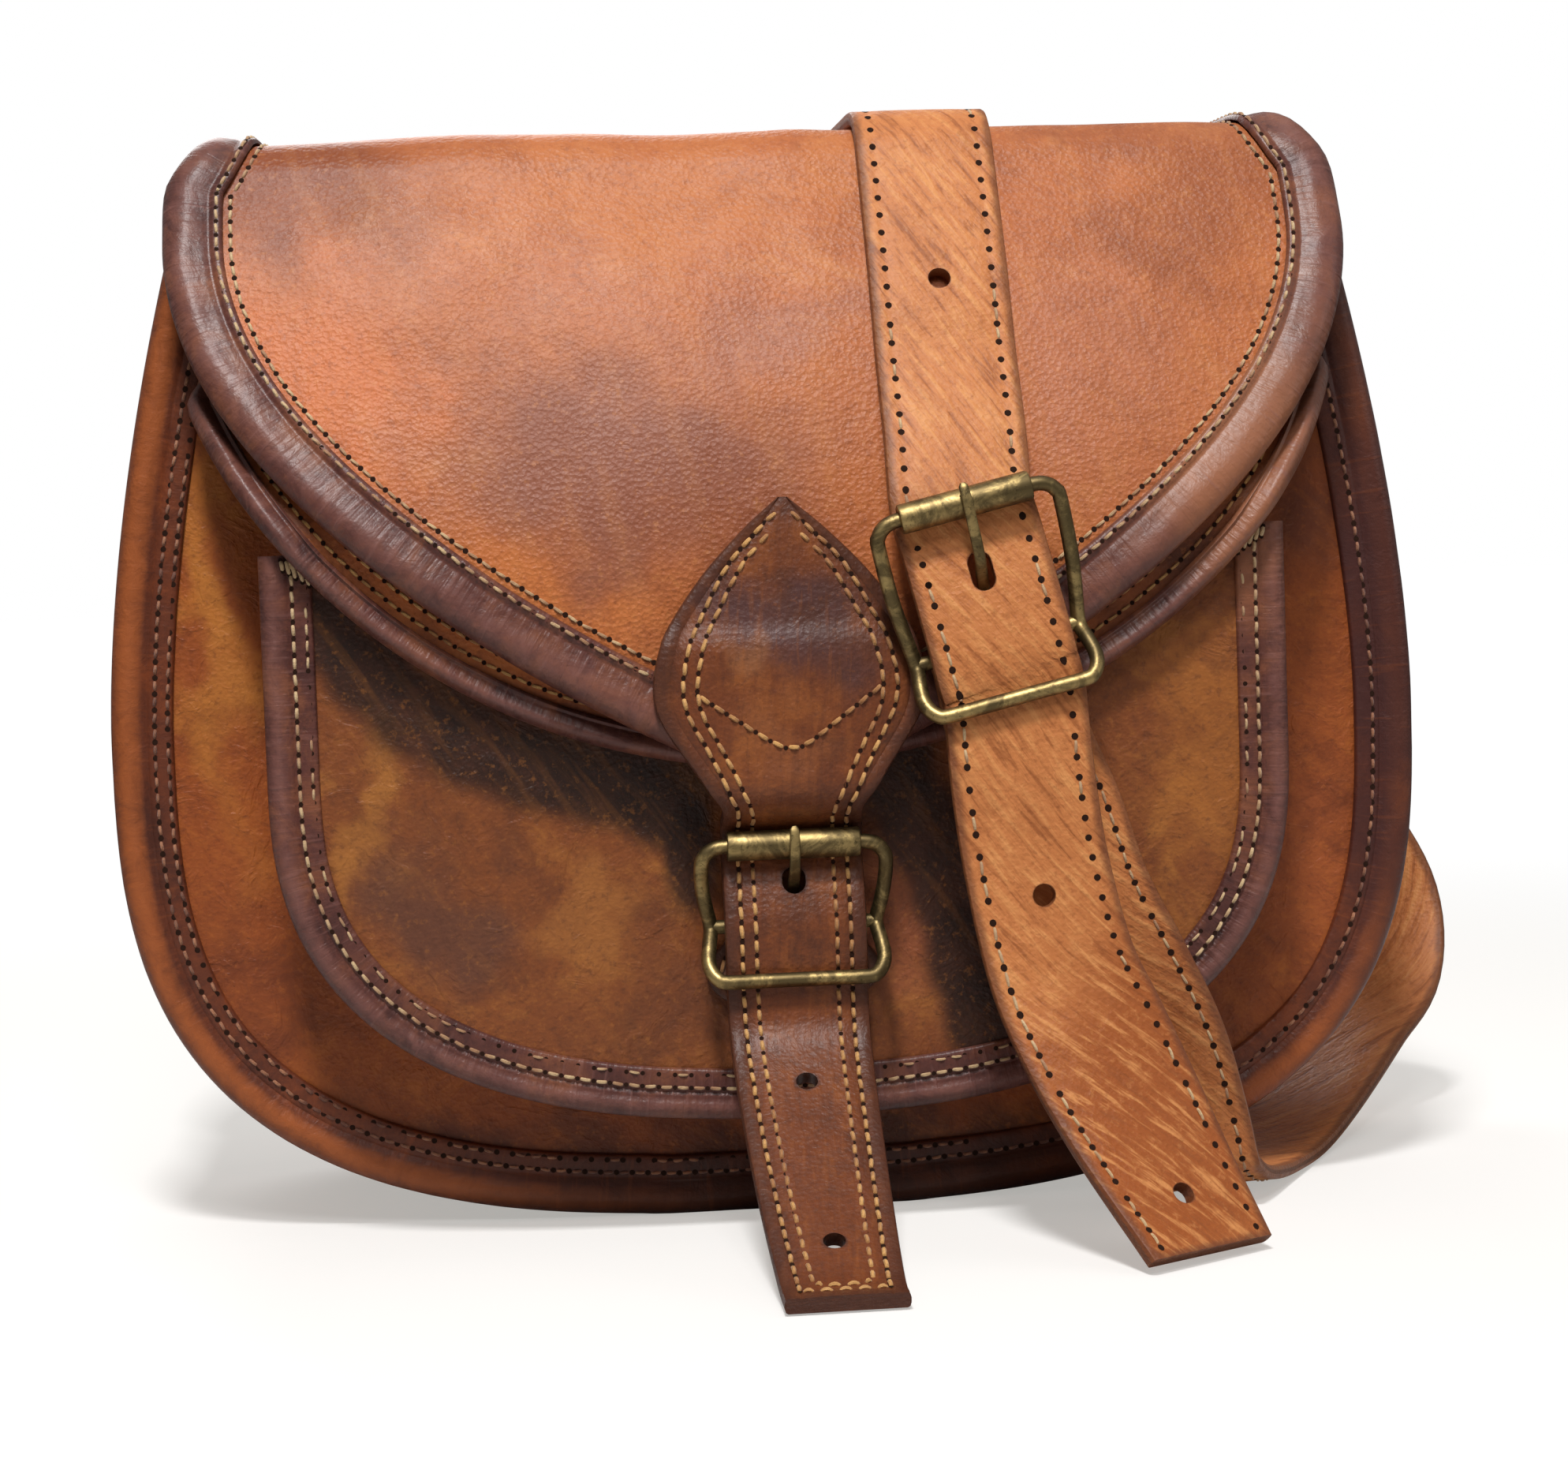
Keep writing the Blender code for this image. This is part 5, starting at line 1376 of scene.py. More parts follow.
    def build_sheet(self) -> None:
        """Make the sheet with the two seams of its hem and one along its edge."""
        shell = Shell()
        rows = [(along, max(half - UNDER_ROLL * (1.4 if half < 80 else 1.0), 0.8))
                for along, half in self.rows[:-2]]
        shell.plate(self.ribbon, rows, self.thickness, 90, self.relief)

        def level(across: float, along: float) -> float:
            """Height of the face."""
            return self.thickness / 2 + self.relief(across, along)

        for inset in (2.2, 12.5):
            hem = [Vector((x, inset)) for x in np.linspace(-self.hem_half + 4, self.hem_half - 4, 120)]
            Seam(seed=20, pitch=3.4).sew(shell, self.ribbon, hem, level)
        self.sew_edge(shell, 11.8, 9.0, 21, level, 0.5)
        sheet = shell.leather("flap_sheet", "flap_leather", "pale_thread")
        lay(sheet, self.rides, "flap_leather", "main_flap", "flap_hem")

    def build_roll(self) -> None:
        """Make the rolled edge with its seam."""
        shell = Shell()
        shell.sweep(self.ribbon, resampled(self.edge(35.1), 2.4), self.binding.profile(), 0.3)
        self.sew_edge(shell, 9.4, 7.0, 23, self.binding.face - 0.02, 0.42)
        roll = shell.leather("flap_edge_roll", "rolled_leather", "pale_thread")
        lay(roll, self.rides, "binding_leather", "flap_binding")

    def build(self) -> None:
        """Make the sheet and its rolled edge."""
        self.build_sheet()
        self.build_roll()


@dataclass
class Pocket:
    """Front pocket: its panel, the strip that holds it off the body, and its rolled edge."""

    half: float = 91.0
    widest_z: float = 83.0
    bottom_z: float = 21.0
    top_z: float = 124.0
    power: float = 2.5
    flat: float = 12.0
    panel: float = 2.0
    binding: Binding = Binding(sheet=2.0, width=9.0, leg=0.8, roll=1.0, roll_width=4.6)

    def __post_init__(self) -> None:
        """Draw its outline."""
        self.outline = u_outline(self.half, self.half, self.widest_z, self.bottom_z, self.top_z, self.flat,
                                 self.power, 1.0)
        self.ribbon = upright(POCKET_Y + self.panel / 2, self.top_z, self.bottom_z)

    def relief(self, across: float, along: float) -> float:
        """Fullness of the pocket on both sides of its tab."""
        fade = sin(pi * held((self.top_z - along - 28.0) / 100.0))
        swell = (pillow(across, -80.0, -17.0, 1.5) + pillow(across, 17.0, 80.0, 1.1)) * fade
        return swell + ripple(across, along, 20.0, 0.55, 4.4) * fade * min(1.0, abs(across) / 30.0)

    def build(self) -> None:
        """Make the three pieces."""
        shell = Shell()
        rows = panel_rows(self.outline, self.top_z, self.bottom_z, UNDER_ROLL, 38, 45, 1.0)
        shell.plate(self.ribbon, rows, self.panel - 0.1, 60, self.relief)
        across_top = [Vector((x, 3.0)) for x in np.linspace(-80, 80, 110)]
        Seam(seed=30).sew(shell, self.ribbon, across_top, self.panel / 2)
        lay(shell.leather("pocket_sheet", "pocket_leather"), "bag", "flap_leather", "pocket_panel")
        strip = Shell()
        strip.band(moved_in(self.outline, -2.6), -56.9, FRONT_Y - GAP, 2.0, 0.5)
        lay(strip.leather("pocket_strip", "side_leather"), "bag", "body_leather", "pocket_gusset")
        roll = Shell()
        edge = on_upright(self.outline, self.top_z)
        roll.sweep(self.ribbon, resampled(edge, 2.2), self.binding.profile(), 0.2)
        for inset, thread, sewn, seed in ((5.5, 0.32, 1.0, 36), (7.8, 0.24, 0.4, 38)):
            seam = Seam(seed=seed, pitch=2.9, thread=thread, sewn=sewn)
            seam.sew(roll, self.ribbon, moved_in(resampled(edge, 1.0), inset), self.binding.face - 0.04)
        self.tack(roll)
        rolled = roll.leather("pocket_edge_roll", "rolled_leather", "pale_thread")
        lay(rolled, "bag", "binding_leather", "pocket_binding")

    def tack(self, shell: Shell) -> None:
        """Add the untidy bar of stitches at both top corners."""
        for sign in (-1, 1):
            for k in range(5):
                low = Vector((sign * (self.half - 8.6 + k * 1.1), 5.5 - k * 0.7))
                high = Vector((sign * (self.half - 7.4 + k * 0.9), 0.8))
                seam = Seam(seed=35 + k, pitch=4.6, gap=0.2)
                seam.sew(shell, self.ribbon, [low, high], self.binding.face + 0.12)


@dataclass
class PocketFlap:
    """Round flap over the pocket, sewn to the front panel, and its rolled edge."""

    radius: float = 113.0
    tip_z: float = 84.0
    level_z: float = 126.0
    hinge_z: float = 160.0
    hinge_y: float = -39.2
    front: float = -64.25
    top_half: float = 97.0
    thickness: float = 1.8
    hem: float = 8.0
    binding: Binding = Binding(sheet=2.5, width=4.8, leg=0.8, roll=1.2, roll_width=3.6)

    def front_y(self, z: float) -> float:
        """Middle of the sheet at a height."""
        rise = held((z - self.level_z) / (self.hinge_z - self.level_z))
        return self.front + (self.hinge_y - self.front) * rise**1.5

    def width_at(self, z: float) -> float:
        """Half width at a height."""
        below = self.tip_z + self.radius - z
        round_half = sqrt(max(self.radius**2 - below**2, 0.0))
        return min(self.top_half + max(self.hinge_z - z, 0.0) * 0.7, round_half)

    def build(self) -> None:
        """Make the sheet and its rolled edge."""
        heights = [self.hinge_z + self.hem * (1 - k / 4) for k in range(4)]
        heights += [self.hinge_z - (self.hinge_z - self.level_z) * k / 16 for k in range(17)]
        heights += [self.level_z - (self.level_z - self.tip_z) * sin(pi / 2 * k / 34) for k in range(1, 35)]
        points = [Vector((0, self.front_y(z), z)) for z in heights]
        ribbon = Ribbon(points, outwards(points))
        rides = ("bag", "pocket_flap", (0, 0, (self.hinge_z + 1.5) * MM), (0, 0, (self.hinge_z - 7.0) * MM))
        shell = Shell()
        rows = [(along, max(self.width_at(z) - UNDER_ROLL * (1.3 if z < 110 else 1.0), 1.0))
                for along, z in zip(ribbon.places, heights)]
        shell.plate(ribbon, rows, self.thickness, 64,
                    lambda across, along: ripple(across, along, 24.0, 0.25, 6.1) * (along > 20))
        top = [Vector((x, 3.0)) for x in np.linspace(-88, 88, 110)]
        Seam(seed=40).sew(shell, ribbon, top, self.thickness / 2)
        left = [Vector((-self.width_at(z), along)) for along, z in zip(ribbon.places, heights)]
        left = [p for p in left if p.y > self.hem + 3.0 and p.x < -1.0]
        edge = left + [Vector((0.0, ribbon.length))] + [Vector((-p.x, p.y)) for p in reversed(left)]
        for inset, seed in ((6.3, 41), (8.7, 42)):
            row = moved_in(resampled(edge, 1.0), inset)
            Seam(seed=seed, **FINE).sew(shell, ribbon, row, self.thickness / 2)
        sheet = shell.leather("pocket_flap_sheet", "pocket_flap_leather")
        lay(sheet, rides, "flap_leather", "pocket_flap")
        roll = Shell()
        roll.sweep(ribbon, resampled(edge, 2.2), self.binding.profile(), 0.2)
        rolled = roll.leather("pocket_flap_edge_roll", "rolled_leather")
        lay(rolled, rides, "binding_leather", "pocket_flap_binding")


@dataclass(frozen=True)
class Station:
    """Cross-section of a strap."""

    point: Sequence[float]
    facing: Sequence[float] = FORWARD
    width: float = STRAP_WIDTH
    thickness: float = STRAP_THICKNESS


@dataclass
class Strap:
    """Flat strap that runs smoothly through its stations."""

    stations: Sequence[Station]
    steps: int = 8
    groove: float = 3.0
    crown: float = 0.12
    depth: float = 0.22

    def __post_init__(self) -> None:
        """Lay it out."""
        packed = [Vector((*s.point, *Vector(s.facing).normalized(), s.width, s.thickness))
                  for s in self.stations]
        path = smooth_path(packed, self.steps)
        self.ribbon = Ribbon([Vector(p[0:3]) for p in path], [Vector(p[3:6]) for p in path])
        self.halves = [p[6] / 2 for p in path]
        self.thicknesses = [p[7] for p in path]

    def half(self, along: float) -> float:
        """Half width at a place."""
        return self.ribbon.reading(self.halves, along)

    def face(self, along: float) -> float:
        """Height of its face at a place."""
        return self.ribbon.reading(self.thicknesses, along) / 2

    def over(self, lift: float) -> Level:
        """Level of a thread that lies a little over its face."""
        return lambda across, along: self.face(along) + lift

    def row(self, inset: float, side: int, start: float, end: float, wider: float = 0.0) -> list[Vector]:
        """Line at a distance from one edge, and further in by up to wider where the leather is broad.

        Args:
            inset: distance from the edge.
            side: 1 for the right edge, -1 for the left.
            start: where it begins.
            end: where it ends.
            wider: how much further in it may lie.

        Returns:
            The line as (across, along).
        """
        count = max(2, round(end - start))
        line = []
        for along in (start + (end - start) * k / count for k in range(count + 1)):
            half = self.half(along)
            more = wider * held((half - STRAP_WIDTH / 2) / 8.0)
            line.append(Vector((side * max(half - inset - more, 0.0), along)))
        return line

    def cutter(self, along: float, radius: float, length: float = 0.0) -> Piece:
        """Round-ended cutter for a hole at a place."""
        shell = Shell()
        straight = max(length / 2 - radius, 0.0)
        ring = [(radius * cosine, along + (radius * sine + copysign(straight, sine)))
                for cosine, sine in circle(24, 0.5)]
        shell.loft([[shell.point(self.ribbon.at(a, b, height), edge=0.0) for a, b in ring]
                    for height in (-4.0, 4.0)])
        return shell.build(f"hole_{round(along)}_{round(radius * 10)}")

    def section(self, half: float, thick: float) -> list[Place]:
        """Section with worn edges and a groove for each seam, from half its width and half its thickness."""
        seam = min(self.groove, half * 0.4)
        soft = min(0.6, half * 0.2)
        over = [(half, thick * 0.3), (half - soft * 0.35, thick * 0.82), (half - soft, thick),
                (half - seam + 0.8 * soft, thick), (half - seam, thick - self.depth),
                (half - seam - 0.9 * soft, thick), (half * 0.5, thick + self.crown * 0.7),
                (half * 0.25, thick + self.crown * 0.95), (0.0, thick + self.crown)]
        under = [(half, -thick * 0.3), (half - soft * 0.35, -thick * 0.82), (half - soft, -thick),
                 (half * 0.4, -thick)]
        left = [(-a, b) for a, b in over[:-1]]
        return left + list(reversed(over)) + under + [(-a, b) for a, b in reversed(under)]

    def fill(self, shell: Shell) -> None:
        """Add the strap to a mesh."""
        rings = []
        for along, half, whole in zip(self.ribbon.places, self.halves, self.thicknesses):
            end = min(max(0.0, along), max(0.0, self.ribbon.length - along))
            ring = []
            for a, b in self.section(half, whole / 2):
                edge = max(0.0, half - abs(a) - 0.5) if abs(b) > whole / 2 * 0.7 else 0.0
                place = self.ribbon.at(a, along, b)
                ring.append(shell.point(place, (a if b > 0 else a + 60, along), min(edge, end)))
            rings.append(ring)
        shell.loft(rings)

    def make(self, name: str, looks: tuple[str, str], cutters: Sequence[Piece], seams: Sewing) -> Piece:
        """Make the strap, punch it and sew it.

        Args:
            name: the piece's name.
            looks: names of its leather and its thread.
            cutters: what is cut out of it.
            seams: each seam with its line and its level.

        Returns:
            The piece.
        """
        shell = Shell()
        self.fill(shell)
        piece = shell.leather(name, *looks)
        punched(piece, cutters)
        sewn = Shell()
        for seam, line, level in seams:
            seam.sew(sewn, self.ribbon, line, level)
        merged(piece, sewn.leather(f"{name}_seams", *looks))
        return piece


@dataclass
class Buckle:
    """Double-loop roller buckle. Its own axes are across the strap, up the strap and out of it."""

    name: str
    centre: Spot
    tilt: float
    roller_reach: float
    keeper_reach: float
    slot: tuple[float, float]
    holder: str
    wire: float = 2.6
    roller: float = 5.2
    roller_rise: float = 5.0
    keeper_rise: float = 6.8
    bow: float = 1.6
    play: float = 0.9
    fold_thickness: float = 1.2

    def __post_init__(self) -> None:
        """Place its axes."""
        angle = radians(self.tilt)
        self.across = Vector((cos(angle), 0, sin(angle)))
        self.up = Vector((-sin(angle), 0, cos(angle)))
        self.side = STRAP_WIDTH / 2 + self.play + self.wire / 2
        self.on_bar = self.wire / 2 + self.fold_thickness + 2 * GAP + STRAP_THICKNESS / 2
        self.behind_roller = self.roller_rise - self.roller / 2 - GAP - STRAP_THICKNESS / 2
        self.behind_keeper = self.keeper_rise - self.wire / 2 - GAP - STRAP_THICKNESS / 2

    def place(self, u: float, v: float, n: float) -> Vector:
        """World position of a local one."""
        return Vector(self.centre) + self.across * u + self.up * v + FORWARD * n

    def frame_path(self) -> list[Vector]:
        """Centre line of the bent wire."""
        top, low = self.roller_reach, -self.keeper_reach
        straight, corner, turn = STRAP_WIDTH / 2 - 0.1, 3.6, 0.6
        top_side, low_side = self.side + self.bow, self.side + self.bow / 2
        half = [(straight * 0.5, top, self.roller_rise), (straight, top, self.roller_rise)]
        for degrees in (35, 62, 90):
            sunk = 1 - cos(radians(degrees))
            out = sin(radians(degrees))
            rise = self.roller_rise * (1 - 0.12 * sunk)
            half.append((straight + (top_side - straight) * out, top - corner * sunk, rise))
        half += [(self.side + self.bow * bow, top * share, self.roller_rise * share)
                 for share, bow in ((0.5, 0.9), (0.25, 0.5), (0.0, 0.0))]
        half.append(((self.side + low_side) / 2, low * turn / 2, self.keeper_rise * turn / 2))
        for degrees in (0, 30, 60, 90):
            share = turn + (1 - turn) * sin(radians(degrees))
            u = straight + (low_side - straight) * cos(radians(degrees))
            half.append((u, low * share, self.keeper_rise * share))
        half.append((straight * 0.5, low, self.keeper_rise))
        path = half + [(-u, v, n) for u, v, n in reversed(half)]
        return smooth_path([self.place(*p) for p in path], 4, closed=True)

    def build_frame(self) -> None:
        """Make the wire loop and its centre bar."""
        shell = Shell()
        shell.tube(self.frame_path(), self.wire / 2, 16, Vector((0.01, -1, 0.02)), closed=True)
        ends = [self.place(-self.side, 0, 0), self.place(self.side, 0, 0)]
        shell.tube(resampled(ends, 3.0), self.wire / 2 - 0.05, 16, FORWARD)
        made = shell.build(f"{self.name}_loop", ["antique_brass"])
        lay(made, self.holder, "aged_brass", f"{self.name}_frame")

    def build_roller(self, body: str) -> None:
        """Make the rolled tube on the top bar, with its seam."""
        shell = Shell()
        bore, full, half = self.wire / 2 + 0.12, self.roller / 2, STRAP_WIDTH / 2 - 0.8
        end = [(half, bore + 0.3), (half, full - 0.35), (half - 0.12, full - 0.1), (half - 0.4, full),
               (half * 0.5, full)]
        profile = [(0.2 - half, bore), (half - 0.2, bore), *end, (0, full)]
        profile += [(-u, r) for u, r in reversed(end)]
        sides = 48
        rings = []
        for k, (v, n) in enumerate(circle(sides)):
            seam = 0.35 if k == sides - 6 else 0.0
            ring = []
            for u, r in profile:
                reach = r - (seam if r > bore + 0.4 else 0.0)
                point = self.place(u, self.roller_reach + reach * v, self.roller_rise + reach * n)
                ring.append(shell.point(point, crest=max(0.0, n)))
            rings.append(ring)
        shell.loft(rings, closed=True)
        tube = shell.build(f"{self.name}_tube", ["antique_brass"], 35)
        lay(tube, body, "aged_brass", f"{self.name}_roller")

    def build_prong(self, body: str) -> None:
        """Make the prong: curled round the bar, up through the strap and over the roller."""
        thick, wide = 1.3, 2.3
        curl = self.wire / 2 + 0.25 + thick / 2
        over = self.roller_rise + self.roller / 2 + 0.2 + thick / 2
        start, end = self.slot
        span = end - start
        path = [(curl * sin(radians(degrees)), curl * cos(radians(degrees)))
                for degrees in (60, 20, -20, -60, -100, -140, -180)]
        path += [(curl * 0.9, -curl * 0.75), (start - 1.0, -0.1), (start, STRAP_THICKNESS / 4),
                 (start + span * 0.45, 3.0), (start + span * 0.9, 6.0), (self.roller_reach - 1.5, over - 0.2),
                 (self.roller_reach + 1.2, over), (self.roller_reach + 3.4, over - 0.35)]
        points = smooth_path([Vector((0, v, n)) for v, n in path], 4)
        shell = Shell()
        rings = []
        count = len(points) - 1
        for i, (point, way) in enumerate(zip(points, tangents(points))):
            lift = Vector((0, -way.z, way.y))
            taper = 1.0 - 0.28 * max(0.0, (i / count - 0.6) / 0.4) - (0.35 if i == count else 0.0)
            ring = []
            for cosine, sine in circle(14):
                u = copysign(abs(cosine) ** 0.6, cosine) * wide / 2 * taper
                n = copysign(abs(sine) ** 0.6, sine) * thick / 2 * taper
                corner = point + lift * n
                ring.append(shell.point(self.place(u, corner.y, corner.z), crest=max(0.0, sine)))
            rings.append(ring)
        shell.loft(rings)
        lay(shell.build(f"{self.name}_tongue", ["antique_brass"]), body, "aged_brass", f"{self.name}_prong")

    def fold(self) -> list[Station]:
        """Stations of leather folded over the centre bar from behind."""
        radius = self.wire / 2 + GAP + self.fold_thickness / 2
        turns = [(sin(radians(degrees)), cos(radians(degrees))) for degrees in range(0, 181, 30)]
        route = [(self.place(0, radius * sine, -radius * cosine), self.up * -sine + FORWARD * cosine)
                 for sine, cosine in turns]
        route += [(self.place(0, v, radius), BACKWARD) for v in (-1.3, -2.6)]
        return [Station(point, facing, FOLD_WIDTH, self.fold_thickness) for point, facing in route]

    def threaded(self) -> list[Station]:
        """Stations of a strap that runs behind the roller, over the bar and behind the keeper."""
        high, low, reach = self.on_bar, self.behind_roller, self.roller_reach
        levels = [(reach, low), (reach * 0.72, low + (high - low) * 0.22),
                  (reach * 0.3, low + (high - low) * 0.75), (0.0, high),
                  (-self.keeper_reach * 0.5, (high + self.behind_keeper) / 2 + 0.1),
                  (-self.keeper_reach, self.behind_keeper)]
        return [Station(self.place(0, v, n)) for v, n in levels]

    def on_strap(self, strap: Strap) -> float:
        """Place on a strap of the hole that the prong goes through."""
        return strap.ribbon.nearest(self.place(0, sum(self.slot) / 2, self.on_bar / 2))

    def holes(self, strap: Strap, spacing: float, steps: Sequence[int], radius: float) -> list[Piece]:
        """Cutters for the prong's slot in a strap and for the spare holes round it.

        Args:
            strap: the strap.
            spacing: distance between holes.
            steps: places of the spare holes in spacings.
            radius: their radius.

        Returns:
            The cutters.
        """
        place = self.on_strap(strap)
        spare = [strap.cutter(place + k * spacing, radius) for k in steps]
        return [strap.cutter(place, 2.1, self.slot[1] - self.slot[0]), *spare]

    def slot_cutter(self) -> Piece:
        """Block that clears the folded leather for the prong's curl."""
        half, reach = 1.9, self.wire / 2 + self.fold_thickness + 1.8
        shell = Shell()
        corners = ((-reach, -reach), (reach, -reach), (reach, reach), (-reach, reach))
        shell.loft([[shell.point(self.place(u, v, n), edge=0.0) for v, n in corners] for u in (-half, half)])
        return shell.build(f"{self.name}_cut")

    def build(self) -> None:
        """Make the frame, the roller and the prong, the last two on bodies of their own."""
        place = self.name.removesuffix("_buckle")
        self.build_frame()
        self.build_roller(f"{place}_roller")
        self.build_prong(f"{place}_prong")


@dataclass
class ClosureStrap:
    """Pointed tab sewn on the flap that runs on as the closure strap, and the patch that holds its buckle."""

    flap: MainFlap
    buckle: Buckle
    widest: float = 23.8
    height: float = 51.0
    hole_spacing: float = 38.0
    tab_bottom_z: float = 40.0

    def stations(self) -> list[Station]:
        """Route of the strap from the tab's point to its end."""
        level = 1.0 + GAP + STRAP_THICKNESS / 2
        clear = 2.7 / 2 + GAP + 1.4 + GAP + STRAP_THICKNESS / 2
        shape = ((0.0, 0.04, level), (0.1, 0.3, level), (0.24, 0.6, level),
                 (0.4, 0.85, (2 * level + clear) / 3), (0.5, 0.95, clear), (0.63, 1.0, clear),
                 (0.74, 0.945, clear), (0.88, 0.76, clear), (0.97, 0.63, clear))
        top = self.flap.tip_z + self.height
        stations = [Station(self.flap.over(0, top - self.height * fall, height), FORWARD,
                            2 * self.widest * share) for fall, share, height in shape]
        threaded = self.buckle.threaded()
        entry = threaded[0].point
        back, drop = FLAP_Y - clear - entry.y, self.flap.tip_z - entry.z
        stations += [Station((0, entry.y + back * y, entry.z + drop * z))
                     for y, z in ((0.73, 0.79), (0.2, 0.42))]
        stations += threaded
        keeper_z = self.buckle.centre[2] - self.buckle.keeper_reach
        tail = ((4.6, 0.81, 0.1), (10.6, 0.64, 0.5), (23.6, 0.41, 0.9), (37.6, 0.2, 1.0), (52.0, 0.03, 1.6),
                (60.0, 0.0, 3.0))
        for forward, share, lean in tail:
            z = FLOOR_LEVEL_Z + (keeper_z - FLOOR_LEVEL_Z) * share
            point = (1.2 * (1 - share) ** 2, self.buckle.centre[1] - forward, z)
            stations.append(Station(point, (0, -1, lean), STRAP_WIDTH - 4.5 * (1 - share) ** 2))
        return stations

    def build_strap(self) -> None:
        """Make the tab and strap with their gold double seams and their holes."""
        strap = Strap(self.stations(), groove=2.9)
        seams = []
        for inset, start, seed in ((2.9, 2.4, 50), (5.4, 6.0, 51)):
            stop = strap.ribbon.length - inset
            right, left = (strap.row(inset, side, start, stop, 2.2) for side in (1, -1))
            seam = Seam(seed=seed, pitch=3.1, thread=0.38, rise=0.26)
            seams.append((seam, right + list(reversed(left)), strap.over(0.02)))
        corner, point = (strap.ribbon.nearest(self.flap.over(0, z, 0)) for z in (97.5, 87.5))
        wide = strap.half(corner) - 7.6
        line = [Vector((-wide, corner)), Vector((-wide * 0.55, corner + (point - corner) * 0.5)),
                Vector((-wide * 0.12, point - 0.6)), Vector((wide * 0.12, point - 0.6)),
                Vector((wide * 0.55, corner + (point - corner) * 0.45)), Vector((wide, corner - 0.8))]
        seam = Seam(seed=52, pitch=2.9, thread=0.38, rise=0.26)
        seams.append((seam, smooth_path(line, 8), strap.over(0.1)))
        cutters = self.buckle.holes(strap, self.hole_spacing, (1, 2), 1.9)
        looks = ("closure_leather", "ochre_thread")
        piece = strap.make("closure_tab_and_strap", looks, cutters, seams)
        lay(piece, "flap", "strap_leather", "closure_strap")

    def build_patch(self) -> None:
        """Make the dark patch sewn on the pocket and folded round the buckle's centre bar."""
        on_pocket = POCKET_Y - GAP - 0.9
        height = self.buckle.centre[2] - self.tab_bottom_z
        shape = ((0.02, 0.45), (0.1, 0.7), (0.26, 0.92), (0.45, 1.0), (0.62, 0.95))
        stations = [Station((0, on_pocket, self.tab_bottom_z + height * rise), FORWARD, 31.0 * share, 1.8)
                    for rise, share in shape]
        fold = self.buckle.fold()
        lifted = (Vector((0, on_pocket, self.tab_bottom_z + height * 0.8)) + fold[0].point) / 2
        lifted.z = self.tab_bottom_z + height * 0.82
        stations.append(Station(lifted, FORWARD, FOLD_WIDTH, self.buckle.fold_thickness))
        strap = Strap(stations + fold, steps=5, groove=2.4, crown=0.0)
        seams = [(Seam(seed=55 + side, pitch=3.0), strap.row(2.4, side, 1.6, 10.0), 0.92) for side in (-1, 1)]
        looks = ("patch_leather", "ochre_thread")
        piece = strap.make("buckle_patch", looks, [self.buckle.slot_cutter()], seams)
        lay(piece, "bag", "patch_leather", "buckle_tab")

    def build(self) -> None:
        """Make both leather pieces and the buckle."""
        self.build_strap()
        self.build_patch()
        self.buckle.build()


